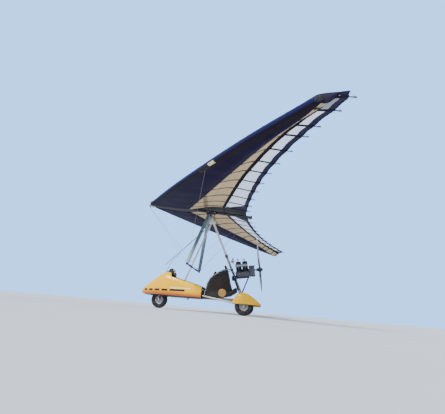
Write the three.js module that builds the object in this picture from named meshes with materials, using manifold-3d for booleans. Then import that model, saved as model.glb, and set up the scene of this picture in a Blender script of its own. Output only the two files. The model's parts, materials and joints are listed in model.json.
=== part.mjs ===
// Two-seat powered hang glider: a delta wing hung on the mast of a three-wheeled pod.
// Millimetres. +X is forward, +Y is to port, +Z is up, and the floor is at Z = 0.
// Trike sizes are measured forward of the rear axle and up from the floor. Wing sizes are
// measured aft of the wing's nose, to port, and up from the keel tube's centre line.
import * as THREE from "three";
import { mergeVertices } from "three/addons/utils/BufferGeometryUtils.js";
import Module from "manifold-3d";

const wasm = await Module();
wasm.setup();

// Driving dimensions
const GAP = 0.3; // between pieces that touch
const PIN_GAP = 0.5; // around a pin that turns in its hole
const REAR_AXLE_X = -638.2; // puts the middle of the whole length at X = 0
const WHEEL_RADIUS = 178;
const TYRE_HALF_WIDTH = 46;
const WHEELBASE = 1875;
const HALF_TRACK = 810;
const HANG_X = 877; // hang bolt, forward of the rear axle
const HANG_Z = 2046;
const KEEL_PITCH = THREE.MathUtils.degToRad(4.3);
const HANG_AFT = 1530; // hang bolt, aft of the wing's nose
const HANG_DROP = 170; // and below the keel tube
const MAST_FOOT_X = 20;
const MAST_FOOT_Z = 280;
const MAST_RADIUS = 25;
const KNUCKLE_Z = 1228;
const STRUT_RADIUS = 18;
const STRUT_TOP = [892, 1950];
const STRUT_FOOT = [1470, 325];
const BEAM = { front: 1620, rear: -35, low: 265, high: 325, half: 25 };
const RAKE = THREE.MathUtils.degToRad(15);
const STEER_X = 1860; // where the steering axis crosses the height of the nose wheel's axle
const ENGINE_TILT = THREE.MathUtils.degToRad(9);
const ENGINE_SEAT = [80, 0, 800];
const PROP_RADIUS = 730;
const HALF_SPAN = 5000;
const KEEL_END = 2430;
const KEEL_RADIUS = 30;
const EDGE_RADIUS = 27;
const FRAME_APEX = [1435, 35, -76];
const FRAME_CORNER = [1300, 800, -1325];
const BAR_RADIUS = 14.5;
const KINGPOST_TOP = 1050;
const WIRE_RADIUS = 2;
const WIRE_JUNCTION = [1735, 2860]; // leading edge fitting of the side wires

// Finishes: colour, roughness, metalness
const LOOKS = {
  podYellow: [0xf3b942, 0.35, 0],
  plasticBlack: [0x1c1b1d, 0.6, 0],
  seatCloth: [0x25252b, 0.9, 0],
  whitePaint: [0xe4dfd6, 0.4, 0.1],
  tanPaint: [0xc3ab84, 0.5, 0.1],
  alloy: [0xa9adb2, 0.35, 0.9],
  darkAlloy: [0x45474b, 0.45, 0.8],
  greyBlue: [0x8fa8ab, 0.4, 0.6],
  engineGrey: [0x55575a, 0.5, 0.7],
  exhaustBrown: [0x8a7358, 0.6, 0.7],
  tyreBlack: [0x18181a, 0.9, 0],
  rimGrey: [0x8c8f92, 0.4, 0.8],
  bladeGrey: [0x2b2c2e, 0.35, 0],
  sailNavy: [0x2c2a55, 0.8, 0],
  sailBlack: [0x1b191b, 0.85, 0],
  wireSteel: [0x777b80, 0.4, 0.9],
};

// Solids and how they are joined and cut
const V = (x, y, z) => new THREE.Vector3(x, y, z);

function toSolid(geometry) {
  const bare = geometry.index ? geometry : geometry.clone();
  for (const name of ["normal", "uv"]) {
    bare.deleteAttribute(name);
  }
  const merged = mergeVertices(bare, 1e-3);
  const made = new wasm.Manifold(new wasm.Mesh({
    numProp: 3,
    vertProperties: new Float32Array(merged.attributes.position.array),
    triVerts: new Uint32Array(merged.index.array),
  }));
  return made;
}

function join(geometries) {
  return geometries.map(toSolid).reduce((whole, next) => whole.add(next));
}

function toGeometry(made) {
  const { vertProperties, triVerts } = made.getMesh();
  const geometry = new THREE.BufferGeometry();
  geometry.setAttribute("position", new THREE.BufferAttribute(vertProperties, 3));
  geometry.setIndex(new THREE.BufferAttribute(triVerts, 1));
  geometry.computeVertexNormals();
  return geometry;
}

// Basic forms: each takes grow, which makes it larger all round for cutting its neighbours
function box(low, high, grow = 0) {
  const size = high.map((value, i) => value - low[i] + 2 * grow);
  const middle = high.map((value, i) => (value + low[i]) / 2);
  return new THREE.BoxGeometry(...size).translate(...middle);
}

function tube(from, to, radius, grow = 0, sides = 16, endRadius = radius) {
  const a = V(...from);
  const b = V(...to);
  const along = b.clone().sub(a).normalize();
  const length = a.distanceTo(b) + 2 * grow;
  const geometry = new THREE.CylinderGeometry(endRadius + grow, radius + grow, length, sides);
  geometry.applyQuaternion(new THREE.Quaternion().setFromUnitVectors(V(0, 1, 0), along));
  return geometry.translate(...a.add(b).multiplyScalar(0.5));
}

// Round tube along a smooth curve through the points
function bentTube(points, radius, grow = 0, steps = 12, sides = 8) {
  const path = new THREE.CatmullRomCurve3(points.map((p) => V(...p)), false, "centripetal");
  const ring = new THREE.Shape();
  ring.absarc(0, 0, radius + grow, 0, 2 * Math.PI);
  return new THREE.ExtrudeGeometry(ring, { steps, curveSegments: sides / 2, extrudePath: path });
}

// Flat outline in X and Z, carried sideways from y = low to y = high
function slab(outline, low, high) {
  const shape = new THREE.Shape(outline.map(([x, z]) => new THREE.Vector2(x, z)));
  const geometry = new THREE.ExtrudeGeometry(shape, { depth: high - low, bevelEnabled: false });
  return geometry.rotateX(Math.PI / 2).translate(0, high, 0);
}

// Flat outline in X and Y, carried upwards from z = low to z = high
function prism(outline, low, high) {
  const shape = new THREE.Shape(outline.map(([x, y]) => new THREE.Vector2(x, y)));
  const geometry = new THREE.ExtrudeGeometry(shape, { depth: high - low, bevelEnabled: false });
  return geometry.translate(0, 0, low);
}

// Skin over a row of rings with the same number of points, closed at both ends by flat fans
function loft(rings) {
  const count = rings[0].length;
  const position = rings.flat().flatMap((p) => [p.x, p.y, p.z]);
  const index = [];
  for (let r = 0; r + 1 < rings.length; r += 1) {
    for (let i = 0; i < count; i += 1) {
      const a = r * count + i;
      const b = r * count + (i + 1) % count;
      index.push(a, b, a + count, b, b + count, a + count);
    }
  }
  for (const [ring, first, flip] of [[rings[0], 0, true], [rings.at(-1), (rings.length - 1) * count, false]]) {
    const hub = position.length / 3;
    const middle = ring.reduce((sum, p) => sum.add(p), V(0, 0, 0)).divideScalar(count);
    position.push(middle.x, middle.y, middle.z);
    for (let i = 0; i < count; i += 1) {
      const j = (i + 1) % count;
      index.push(hub, first + (flip ? j : i), first + (flip ? i : j));
    }
  }
  const geometry = new THREE.BufferGeometry();
  geometry.setAttribute("position", new THREE.BufferAttribute(new Float32Array(position), 3));
  geometry.setIndex(index);
  return signedVolume(geometry) < 0 ? turnedOut(geometry) : geometry;
}

function signedVolume(geometry) {
  const at = (i) => new THREE.Vector3().fromBufferAttribute(geometry.attributes.position, i);
  const index = geometry.index.array;
  let sum = 0;
  for (let t = 0; t < index.length; t += 3) {
    sum += at(index[t]).dot(at(index[t + 1]).cross(at(index[t + 2]))) / 6;
  }
  return sum;
}

function turnedOut(geometry) {
  const index = geometry.index.array;
  for (let t = 0; t < index.length; t += 3) {
    [index[t + 1], index[t + 2]] = [index[t + 2], index[t + 1]];
  }
  return geometry;
}

// Tube with a flattened oval section, its long side along X
function ovalTube(from, to, chord, thick, grow = 0, sides = 14) {
  const ring = ([x, y, z]) => Array.from({ length: sides }, (_, i) => {
    const t = 2 * Math.PI * i / sides;
    return V(x + (chord / 2 + grow) * Math.cos(t), y + (thick / 2 + grow) * Math.sin(t), z);
  });
  const along = V(...to).sub(V(...from)).normalize().multiplyScalar(grow);
  const a = V(...from).sub(along).toArray();
  const b = V(...to).add(along).toArray();
  return loft([ring(a), ring(b)]);
}

// The same forms made larger by moving copies a little along each axis
function swollen(geometries, grow) {
  const steps = [[0, 0, 0], [1, 0, 0], [-1, 0, 0], [0, 1, 0], [0, -1, 0], [0, 0, 1], [0, 0, -1]];
  return grow === 0 ? geometries : geometries.flatMap((geometry) => steps.map(
    (step) => geometry.clone().translate(...step.map((share) => share * grow)),
  ));
}

// Value at x in a table whose rows are [x, value, ...], eased between rows
function lookUp(table, x, column = 1) {
  const last = table.length - 1;
  let k = 0;
  while (k < last - 1 && x > table[k + 1][0]) {
    k += 1;
  }
  const slope = (i) => {
    const lo = Math.max(i - 1, 0);
    const hi = Math.min(i + 1, last);
    return (table[hi][column] - table[lo][column]) / (table[hi][0] - table[lo][0]);
  };
  const span = table[k + 1][0] - table[k][0];
  const t = Math.min(Math.max((x - table[k][0]) / span, 0), 1);
  const h = [2 * t ** 3 - 3 * t ** 2 + 1, t ** 3 - 2 * t ** 2 + t, 3 * t ** 2 - 2 * t ** 3, t ** 3 - t ** 2];
  return h[0] * table[k][column] + h[1] * span * slope(k)
    + h[2] * table[k + 1][column] + h[3] * span * slope(k + 1);
}

// Register of pieces: name, look, forms(grow), and the names of the neighbours that cut it
const forms = {};
const craft = new THREE.Group();
const trike = new THREE.Group();
const wing = new THREE.Group();
const engineBay = new THREE.Group();
craft.add(trike, wing, engineBay);

function place(group, name, look, build, neighbours = [], voids = []) {
  forms[name] = build;
  let made = join(build(0));
  for (const other of neighbours) {
    made = made.subtract(join(forms[other](GAP)));
  }
  for (const hollow of voids) {
    made = made.subtract(toSolid(hollow));
  }
  addSolid(group, name, look, made);
  return made;
}

function addSolid(group, name, look, made) {
  const [color, roughness, metalness] = LOOKS[look];
  const mesh = new THREE.Mesh(
    toGeometry(made),
    new THREE.MeshStandardMaterial({ color, roughness, metalness }),
  );
  mesh.name = name;
  group.add(mesh);
}

const SIDES = [["left", 1], ["right", -1]];

// Frame of the trike: beam, mast in two lengths with its head, front strut
const mastX = (z) => MAST_FOOT_X + (z - MAST_FOOT_Z) * (HANG_X - MAST_FOOT_X) / (HANG_Z - MAST_FOOT_Z);
const mastAt = (z) => [mastX(z), 0, z];
const strutX = (z) => STRUT_TOP[0]
  + (STRUT_TOP[1] - z) * (STRUT_FOOT[0] - STRUT_TOP[0]) / (STRUT_TOP[1] - STRUT_FOOT[1]);
const HEAD_LOW = HANG_Z - 100;

place(trike, "base_beam", "tanPaint", (g) => [
  box([BEAM.rear, -BEAM.half, BEAM.low], [BEAM.front, BEAM.half, BEAM.high], g),
]);
place(trike, "mast_lower", "tanPaint", (g) => [
  tube(mastAt(BEAM.high - 40), mastAt(KNUCKLE_Z - 35), MAST_RADIUS, g),
  tube(mastAt(KNUCKLE_Z - 35), mastAt(KNUCKLE_Z + 35), MAST_RADIUS + 9, g),
], ["base_beam"]);
place(trike, "mast_upper", "whitePaint", (g) => [
  tube(mastAt(KNUCKLE_Z + 30), mastAt(HEAD_LOW + 20), MAST_RADIUS, g),
  box([HANG_X - 88, -30, HEAD_LOW], [HANG_X + 66, 30, HEAD_LOW + 55], g),
  box([HANG_X - 22, 19.5, HEAD_LOW + 50], [HANG_X + 22, 30, HANG_Z + 22], g),
  box([HANG_X - 22, -30, HEAD_LOW + 50], [HANG_X + 22, -19.5, HANG_Z + 22], g),
  tube([HANG_X, -37, HANG_Z], [HANG_X, 37, HANG_Z], 6, g, 24),
], ["mast_lower"]);
place(trike, "front_strut", "whitePaint", (g) => [
  tube([STRUT_FOOT[0] + 8, 0, STRUT_FOOT[1] - 22], [strutX(HEAD_LOW + 25), 0, HEAD_LOW + 25], STRUT_RADIUS, g),
], ["base_beam", "mast_upper"]);

// Slender stay ahead of the front strut, and the short bent brace above the pod
const STAY_HIGH = [955, 0, 1858];
const STAY_LOW = [1840, 0, 943];
place(trike, "front_stay", "alloy", (g) => [
  tube(STAY_LOW, [STAY_HIGH[0] - 30, 0, STAY_HIGH[2] + 31], 9, g, 12),
], ["front_strut"]);

// Pod: rows are [forward, half width, underside, top, squareness]
const POD_ROWS = [
  [2286, 14, 318, 346, 2.0],
  [2262, 52, 288, 396, 2.1],
  [2164, 126, 263, 486, 2.3],
  [1995, 204, 252, 631, 2.5],
  [1768, 272, 249, 784, 2.7],
  [1560, 294, 248, 748, 3.0],
  [1330, 300, 249, 672, 3.4],
  [1100, 300, 252, 596, 3.8],
  [930, 288, 258, 548, 3.8],
];
const POD_WALL = 9;
const COCKPIT_FRONT = 1640;
const POD_STATIONS = [2286, 2262, 2220, 2164, 2085, 1995, 1885, 1768, 1660, 1560, 1445, 1330, 1215, 1100, 930];
const POD_SIDES = 28;
const fromNose = POD_ROWS.toReversed();

function podRing(x, inset, at = x) {
  const [half, low, high, power] = [1, 2, 3, 4].map((column) => lookUp(fromNose, x, column));
  const middle = (low + high) / 2;
  return Array.from({ length: POD_SIDES }, (_, i) => {
    const t = 2 * Math.PI * (i + 0.5) / POD_SIDES;
    const bulge = (value) => Math.sign(value) * Math.abs(value) ** (2 / power);
    return V(at, (half - inset) * bulge(Math.cos(t)), middle + ((high - low) / 2 - inset) * bulge(Math.sin(t)));
  });
}

function podCavity() {
  const rings = POD_STATIONS.filter((x) => x <= 2164).map((x) => podRing(x, POD_WALL, x === 930 ? 900 : x));
  return loft(rings);
}

function cockpitCut() {
  const edge = (x, sign) => [x, sign * (lookUp(fromNose, x) - 34)];
  const stations = [880, 1000, 1100, 1250, 1400, 1520, 1600];
  const port = stations.map((x) => edge(Math.max(x, 880), 1));
  const starboard = stations.toReversed().map((x) => edge(x, -1));
  return prism([...port, [COCKPIT_FRONT, 130], [COCKPIT_FRONT, -130], ...starboard], 430, 1200);
}

function wheelArch(grow) {
  const [long, wide, corner] = [188 + grow, 132 + grow, 70];
  const x = WHEELBASE;
  return prism([
    [x - long, -wide + corner], [x - long + corner, -wide], [x + long - corner, -wide],
    [x + long, -wide + corner], [x + long, wide - corner], [x + long - corner, wide],
    [x - long + corner, wide], [x - long, wide - corner],
  ], 200, 392);
}

place(trike, "pod_shell", "podYellow", () => [
  loft(POD_STATIONS.map((x) => podRing(x, 0))),
], ["base_beam"], [podCavity(), cockpitCut(), wheelArch(0)]);
forms.pod_outer = (g) => [loft(POD_STATIONS.map((x) => podRing(x, -g)))];

place(trike, "stay_brace", "alloy", (g) => [
  bentTube([
    [1785, 0, 756], [1768, 0, 870], [1722, 0, 980], [1652, 0, 1078], [1565, 0, 1180], [1510, 0, 1278],
  ], 6, g, 12),
], ["pod_outer", "front_stay"]);

place(trike, "instrument_cowl", "plasticBlack", () => [
  slab([[1765, 745], [1690, 850], [1640, 866], [1575, 742], [1600, 700]], -128, 128),
], ["pod_outer"]);

// Seats, the moulding under them, and the rails beside them
place(trike, "rear_body", "plasticBlack", (g) => swollen([
  slab([
    [1060, 282], [1060, 352], [790, 366], [700, 440], [420, 466], [330, 474], [205, 560],
    [190, 470], [330, 372], [620, 300], [900, 274],
  ], -228, 228),
  tube([490, 0, 420], [490, 252, 420], 85, 0, 24),
], g), ["base_beam", "mast_lower"], [box([925, -400, 200], [1100, -195, 600]), box([925, 195, 200], [1100, 400, 600]),
  box([925, -400, 200], [1100, 400, 288])]);

function seat(hip, shoulder, front, top, half) {
  const [x, z] = hip;
  return slab([
    [front, z + 12], [front, z + 62], [front - 60, z + 72], [x + 70, z + 52], [x + 46, z + 90],
    [shoulder + 52, top - 20], [shoulder + 26, top], [shoulder, top - 8], [x - 12, z + 60], [x, z + 4],
    [x + 60, z],
  ], -half, half);
}
place(trike, "front_seat", "seatCloth", (g) => swollen([seat([770, 368], 668, 1150, 880, 186)], g), ["rear_body"]);
place(trike, "rear_seat", "seatCloth", (g) => swollen([seat([322, 476], 470, 655, 1035, 196)], g), ["rear_body", "mast_lower"]);

for (const [side, sign] of SIDES) {
  place(trike, `seat_rail_${side}`, "alloy", (g) => [
    bentTube([
      [872, sign * 212, 350], [845, sign * 224, 480], [800, sign * 240, 640], [740, sign * 248, 738],
      [640, sign * 250, 812], [550, sign * 248, 878], [430, sign * 232, 915], [378, sign * 130, 932],
      [352, sign * 10, 938],
    ], 11, g, 18),
  ], ["rear_body", "mast_lower"]);
}

// Engine bay, in its own tilted frame with its origin on the tray
engineBay.position.set(...ENGINE_SEAT);
engineBay.rotation.y = ENGINE_TILT;
engineBay.updateMatrix();
const toBay = engineBay.matrix.clone().invert();
const inBay = (geometries) => geometries.map((geometry) => geometry.applyMatrix4(toBay));
forms.mast_in_bay = (g) => inBay(forms.mast_lower(g));
const SHAFT = { x: -376, z: 133 }; // middle of the propeller hub
const CYLINDERS = [-60, 80];

place(engineBay, "engine_tray", "darkAlloy", (g) => [
  box([-136, -95, -22], [175, 95, 0], g),
  box([152, -40, -60], [250, 40, 40], g),
  tube([-110, 0, -28], inBayPoint(mastAt(430)), 14, g, 12),
], ["mast_in_bay"]);
place(engineBay, "engine", "engineGrey", (g) => [
  box([-140, -110, GAP], [150, 110, 118], g),
  ...CYLINDERS.flatMap((x) => [
    tube([x, 0, 100], [x, 0, 300], 50, g, 20),
    ...[128, 160, 192, 224, 256, 288].map((z) => box([x - 64, -74, z], [x + 64, 74, z + 12], g)),
    box([x - 56, -60, 298], [x + 56, 60, 338], g),
  ]),
  box([-262, -66, 40], [-139, 66, 200], g),
  tube([-262, 0, 60], [-139, 0, 60], 66, g, 24),
  tube([-262, 0, SHAFT.z + 40], [-139, 0, SHAFT.z + 40], 66, g, 24),
], [], [tube([-300, 0, SHAFT.z], [-225, 0, SHAFT.z], 15 + PIN_GAP, 0, 24)]);
place(engineBay, "intake", "alloy", (g) => [
  ...CYLINDERS.map((x) => tube([x, 76, 214], [x, 168, 236], 17, g, 12)),
  tube([-125, 176, 238], [150, 176, 238], 30, g, 20),
], ["engine"]);
place(engineBay, "exhaust", "exhaustBrown", (g) => [
  ...CYLINDERS.map((x) => tube([x, -76, 187], [x, -150, 150], 17, g, 12)),
  tube([-160, -182, 140], [130, -182, 140], 54, g, 24),
  tube([-150, -182, 118], [-250, -190, 70], 20, g, 14),
], ["engine"]);

function inBayPoint(point) {
  return V(...point).applyMatrix4(toBay).toArray();
}

// Propeller: hub with its shaft, and three twisted blades. Blade rows are
// [radius, chord, thickness, pitch angle in degrees]
const BLADE_ROWS = [
  [40, 42, 34, 44],
  [100, 66, 24, 38],
  [200, 98, 17, 30],
  [400, 104, 13, 21],
  [600, 84, 9, 15],
  [700, 56, 6, 12],
  [PROP_RADIUS, 26, 4, 11],
];
const BLADE_SIDES = 10;
const propeller = new THREE.Group();
propeller.position.set(SHAFT.x, 0, SHAFT.z);
engineBay.add(propeller);
place(propeller, "propeller_hub", "darkAlloy", () => [
  tube([-26, 0, 0], [26, 0, 0], 48, 0, 24),
  tube([20, 0, 0], [142, 0, 0], 15, 0, 24),
  tube([20, 0, 0], [70, 0, 0], 34, 0, 24),
  tube([-70, 0, 0], [-20, 0, 0], 12, 0, 20, 34),
]);

function bladeForm(angle, grow) {
  const rings = BLADE_ROWS.map(([radius, chord, thick, pitch]) => {
    const turn = THREE.MathUtils.degToRad(pitch);
    return Array.from({ length: BLADE_SIDES }, (_, i) => {
      const t = 2 * Math.PI * i / BLADE_SIDES;
      const along = (chord / 2 + grow) * Math.cos(t);
      const across = (thick / 2 + grow) * Math.sin(t);
      return V(along * Math.sin(turn) + across * Math.cos(turn),
        along * Math.cos(turn) - across * Math.sin(turn), radius);
    });
  });
  return loft(rings).rotateX(angle);
}
const BLADE_ANGLES = [10, 130, 250].map(THREE.MathUtils.degToRad);
BLADE_ANGLES.forEach((angle, i) => {
  place(propeller, `propeller_blade_${i + 1}`, "bladeGrey", (g) => [bladeForm(angle, g)], ["propeller_hub"]);
});

// Wheels: tyre and rim turned about the axle; profile rows are [radius, sideways]
function turned(profile, segments) {
  return new THREE.LatheGeometry(profile.map(([r, y]) => new THREE.Vector2(r, y)), segments);
}
const BEAD = 84;
const TYRE_PROFILE = [
  [BEAD, -32], [120, -TYRE_HALF_WIDTH], [156, -40], [WHEEL_RADIUS, -14],
  [WHEEL_RADIUS, 14], [156, 40], [120, TYRE_HALF_WIDTH], [BEAD, 32], [BEAD, -32],
];
const rimProfile = (bore) => [
  [bore, -44], [30, -44], [34, -12], [64, -10], [72, -36], [BEAD - GAP, -36],
  [BEAD - GAP, 36], [72, 36], [64, 10], [34, 12], [30, 44], [bore, 44], [bore, -44],
];
const WHEEL_SEGMENTS = 24;

function addWheel(name, x, y, bore) {
  const group = new THREE.Group();
  group.position.set(x, y, WHEEL_RADIUS);
  trike.add(group);
  place(group, `${name}_tyre`, "tyreBlack", () => [turned(TYRE_PROFILE, WHEEL_SEGMENTS)]);
  place(group, `${name}_rim`, "rimGrey", () => [turned(rimProfile(bore + PIN_GAP), WHEEL_SEGMENTS)]);
}
const NOSE_PIN = 10;
const STUB_PIN = 12;
addWheel("nose_wheel", WHEELBASE, 0, NOSE_PIN);
for (const [side, sign] of SIDES) {
  addWheel(`wheel_${side}`, 0, sign * HALF_TRACK, STUB_PIN);
}

// Steering: a raked head on the beam carries the fork; the foot bar turns it
const steerX = (z) => STEER_X - (z - WHEEL_RADIUS) * Math.tan(RAKE);
const steerAt = (z, y = 0) => [steerX(z), y, z];
const STEM_RADIUS = 13;
place(trike, "steering_head", "darkAlloy", (g) => [
  tube(steerAt(432), steerAt(520), 24, g, 24),
  tube(steerAt(470), [1590, 0, BEAM.high - 5], 16, g, 12),
], ["base_beam"], [tube(steerAt(380), steerAt(560), STEM_RADIUS + PIN_GAP, 0, 24)]);
place(trike, "fork", "darkAlloy", (g) => [
  tube(steerAt(395), steerAt(560), STEM_RADIUS, g, 24),
  box([steerX(402) - 30, -78, 388], [steerX(402) + 30, 78, 408], g),
  ...SIDES.map(([, sign]) => ovalTube([WHEELBASE, sign * 66, 160], [steerX(402), sign * 66, 400], 44, 22, g)),
  tube([WHEELBASE, -74, WHEEL_RADIUS], [WHEELBASE, 74, WHEEL_RADIUS], NOSE_PIN, g, 24),
  tube(steerAt(548, -180), steerAt(548, 180), 11, g, 12),
  tube(steerAt(535), steerAt(562), 22, g, 20),
]);

// Rear legs with their stub axles, drag struts, suspension struts and wheel spats
for (const [side, sign] of SIDES) {
  const s = (y) => sign * y;
  const span = (low, high) => (sign > 0 ? [low, high] : [-high, -low]);
  const [plateIn, plateOut] = span(716, 734);
  place(trike, `axle_leg_${side}`, "alloy", (g) => [
    ovalTube([0, s(14), 302], [0, s(722), 214], 64, 26, g),
    box([-34, plateIn, 150], [62, plateOut, 352], g),
    tube([0, s(725), WHEEL_RADIUS], [0, s(872), WHEEL_RADIUS], STUB_PIN, g, 24),
    tube([0, s(860), WHEEL_RADIUS], [0, s(876), WHEEL_RADIUS], 20, g, 6),
  ], ["base_beam"]);
  place(trike, `drag_strut_${side}`, "whitePaint", (g) => [
    tube([905, s(214), 330], [52, s(717), 209], 13, g, 12),
  ], [`axle_leg_${side}`, "rear_body"]);
  place(trike, `suspension_${side}`, "alloy", (g) => [
    tube(mastAt(945), [46, s(724), 312], 12, g, 12),
    tube([250, s(259), 728], [127, s(542), 475], 22, g, 16),
  ], [`axle_leg_${side}`, "mast_lower", `seat_rail_${side}`, "rear_seat"]);
}

// Spat rows are [forward, half width, top]; the underside is flat
const SPAT_LOW = 208;
const SPAT_ROWS = [
  [-335, 5, 236],
  [-250, 34, 300],
  [-120, 66, 388],
  [0, 80, 430],
  [110, 78, 412],
  [190, 56, 336],
  [224, 22, 258],
];
const SPAT_STATIONS = [-335, -290, -250, -185, -120, -60, 0, 60, 110, 155, 190, 210, 224];
const SPAT_SIDES = 14;
const SPAT_POWER = 3.2;

function spatRing(x, y0) {
  const half = lookUp(SPAT_ROWS, x, 1);
  const rise = lookUp(SPAT_ROWS, x, 2) - SPAT_LOW;
  return Array.from({ length: SPAT_SIDES + 1 }, (_, i) => {
    const t = Math.PI * i / SPAT_SIDES;
    const bulge = (value) => Math.sign(value) * Math.abs(value) ** (2 / SPAT_POWER);
    return V(x, y0 + half * bulge(Math.cos(t)), SPAT_LOW + rise * bulge(Math.sin(t)));
  });
}
for (const [side, sign] of SIDES) {
  const y0 = sign * HALF_TRACK;
  const hollow = tube([0, y0 - 57, WHEEL_RADIUS], [0, y0 + 57, WHEEL_RADIUS], WHEEL_RADIUS + 14, 0, 36);
  place(trike, `spat_${side}`, "podYellow", () => [
    loft(SPAT_STATIONS.map((x) => spatRing(x, y0))),
  ], [`axle_leg_${side}`, `suspension_${side}`, `drag_strut_${side}`], [hollow]);
}

// Wing frame: its group stands at the wing's nose, pitched about the hang bolt
const wingNose = [
  HANG_X + HANG_AFT * Math.cos(KEEL_PITCH) - HANG_DROP * Math.sin(KEEL_PITCH),
  HANG_Z + HANG_AFT * Math.sin(KEEL_PITCH) + HANG_DROP * Math.cos(KEEL_PITCH),
];
wing.position.set(wingNose[0], 0, wingNose[1]);
wing.rotation.y = -KEEL_PITCH;
const aft = (a, y, z) => [-a, y, z];

place(wing, "keel_tube", "darkAlloy", (g) => [
  tube(aft(40, 0, 0), aft(KEEL_END - 10, 0, 0), KEEL_RADIUS, g, 16),
  tube(aft(KEEL_END - 45, 0, 0), aft(KEEL_END, 0, 0), KEEL_RADIUS + 9, g, 16),
]);
const NOSE_OUTLINE = [[0, -22], [0, 22], [-60, 66], [-150, 66], [-150, -66], [-60, -66]];
place(wing, "nose_plate", "alloy", (g) => swollen([
  prism(NOSE_OUTLINE, 44, 50),
  prism(NOSE_OUTLINE, -50, -44),
  box([-26, -14, -74], [-2, 14, 74]),
], g), ["keel_tube"]);

// Leading edge, as [sideways, aft] of the sail's front edge; the tube lies just behind it
const EDGE_ROWS = [
  [0, 0],
  [1430, 812],
  [2860, 1680],
  [4000, 2400],
  [HALF_SPAN, 3080],
];
const EDGE_INSET = 50;
const edgeStations = [48, 700, 1430, 2150, 2860, 3500, 4200, HALF_SPAN + 45];
const edgeAft = (y) => lookUp(EDGE_ROWS, Math.min(y, HALF_SPAN)) + Math.max(y - HALF_SPAN, 0) * 0.68;

function edgeTube(sign, grow) {
  const ring = (y) => Array.from({ length: 12 }, (_, i) => {
    const t = 2 * Math.PI * i / 12;
    const radius = EDGE_RADIUS + grow;
    return V(-(edgeAft(y) + EDGE_INSET) - radius * 0.85 * Math.cos(t),
      sign * (y - radius * 0.53 * Math.cos(t)), radius * Math.sin(t));
  });
  const ends = [edgeStations[0] - grow, ...edgeStations.slice(1, -1), edgeStations.at(-1) + grow];
  return loft(ends.map(ring));
}
for (const [side, sign] of SIDES) {
  place(wing, `leading_edge_${side}`, "alloy", (g) => [edgeTube(sign, g)], ["keel_tube", "nose_plate"]);
}

// Hang bracket and control frame
const [APEX_AFT, APEX_Y, APEX_Z] = FRAME_APEX;
const [CORNER_AFT, CORNER_Y, CORNER_Z] = FRAME_CORNER;
const ROLL_PIN_Z = -HANG_DROP + 60;
const BLOCK_HALF = 30;
place(wing, "keel_bracket", "darkAlloy", (g) => [
  box([-(HANG_AFT + 60), -36, -52], [-(APEX_AFT - 60), 36, 36], g),
  box([-(APEX_AFT + 42), -52, -74], [-(APEX_AFT - 46), 52, -40], g),
  ...[-1, 1].map((end) => {
    const near = -HANG_AFT + end * (BLOCK_HALF + 3);
    const far = near + end * 8;
    return box([Math.min(near, far), -25, ROLL_PIN_Z - 20], [Math.max(near, far), 25, -45], g);
  }),
  tube(aft(HANG_AFT - BLOCK_HALF - 8, 0, ROLL_PIN_Z), aft(HANG_AFT + BLOCK_HALF + 8, 0, ROLL_PIN_Z), 6, g, 24),
], ["keel_tube"]);
place(wing, "hang_block", "alloy", () => [
  box([-HANG_AFT - BLOCK_HALF, -16, -HANG_DROP - 20], [-HANG_AFT + BLOCK_HALF, 16, ROLL_PIN_Z + 24]),
], [], [
  tube(aft(HANG_AFT, -30, -HANG_DROP), aft(HANG_AFT, 30, -HANG_DROP), 6 + PIN_GAP, 0, 24),
  tube(aft(HANG_AFT - 50, 0, ROLL_PIN_Z), aft(HANG_AFT + 50, 0, ROLL_PIN_Z), 6 + PIN_GAP, 0, 24),
]);
place(wing, "base_bar", "darkAlloy", (g) => [
  tube(aft(CORNER_AFT, -CORNER_Y, CORNER_Z), aft(CORNER_AFT, CORNER_Y, CORNER_Z), BAR_RADIUS, g, 16),
  ...SIDES.map(([, sign]) => box(
    [-CORNER_AFT - 24, sign * CORNER_Y - 22, CORNER_Z - 20],
    [-CORNER_AFT + 24, sign * CORNER_Y + 22, CORNER_Z + 30], g,
  )),
]);
for (const [side, sign] of SIDES) {
  place(wing, `downtube_${side}`, "greyBlue", (g) => [
    ovalTube(aft(APEX_AFT, sign * APEX_Y, APEX_Z), aft(CORNER_AFT, sign * (CORNER_Y - 6), CORNER_Z + 25), 76, 28, g),
  ], ["keel_bracket", "base_bar"]);
}
place(wing, "kingpost", "alloy", (g) => [
  tube(aft(APEX_AFT, 0, 20), aft(APEX_AFT, 0, KINGPOST_TOP), 17, g, 16),
  tube(aft(APEX_AFT, 0, KINGPOST_TOP - 34), aft(APEX_AFT, 0, KINGPOST_TOP), 24, g, 16),
], ["keel_tube", "keel_bracket"]);

// Stays: lower wires from the control frame's corners, upper wires from the kingpost
const [JUNCTION_AFT, JUNCTION_Y] = WIRE_JUNCTION;
const wire = (from, to, g) => tube(from, to, WIRE_RADIUS, g, 8);
const REAR_STAY = [KEEL_END - 22, 0];
for (const [side, sign] of SIDES) {
  const corner = aft(CORNER_AFT, sign * CORNER_Y, CORNER_Z + 4);
  const stays = [
    ["front", aft(14, sign * 4, -64), ["nose_plate"]],
    ["side", aft(JUNCTION_AFT, sign * JUNCTION_Y, 0), [`leading_edge_${side}`]],
    ["rear", aft(REAR_STAY[0], sign * 14, -14), ["keel_tube"]],
  ];
  for (const [where, end, holders] of stays) {
    place(wing, `stay_lower_${where}_${side}`, "wireSteel", (g) => [wire(corner, end, g)],
      ["base_bar", `downtube_${side}`, ...holders]);
  }
}
const postTop = aft(APEX_AFT, 0, KINGPOST_TOP - 16);
const upperStays = [
  ["front", aft(14, 0, 64), ["nose_plate"]],
  ["rear", aft(REAR_STAY[0], 0, 10), ["keel_tube"]],
  ["left", aft(JUNCTION_AFT, JUNCTION_Y, 0), ["leading_edge_left"]],
  ["right", aft(JUNCTION_AFT, -JUNCTION_Y, 0), ["leading_edge_right"]],
];
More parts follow.
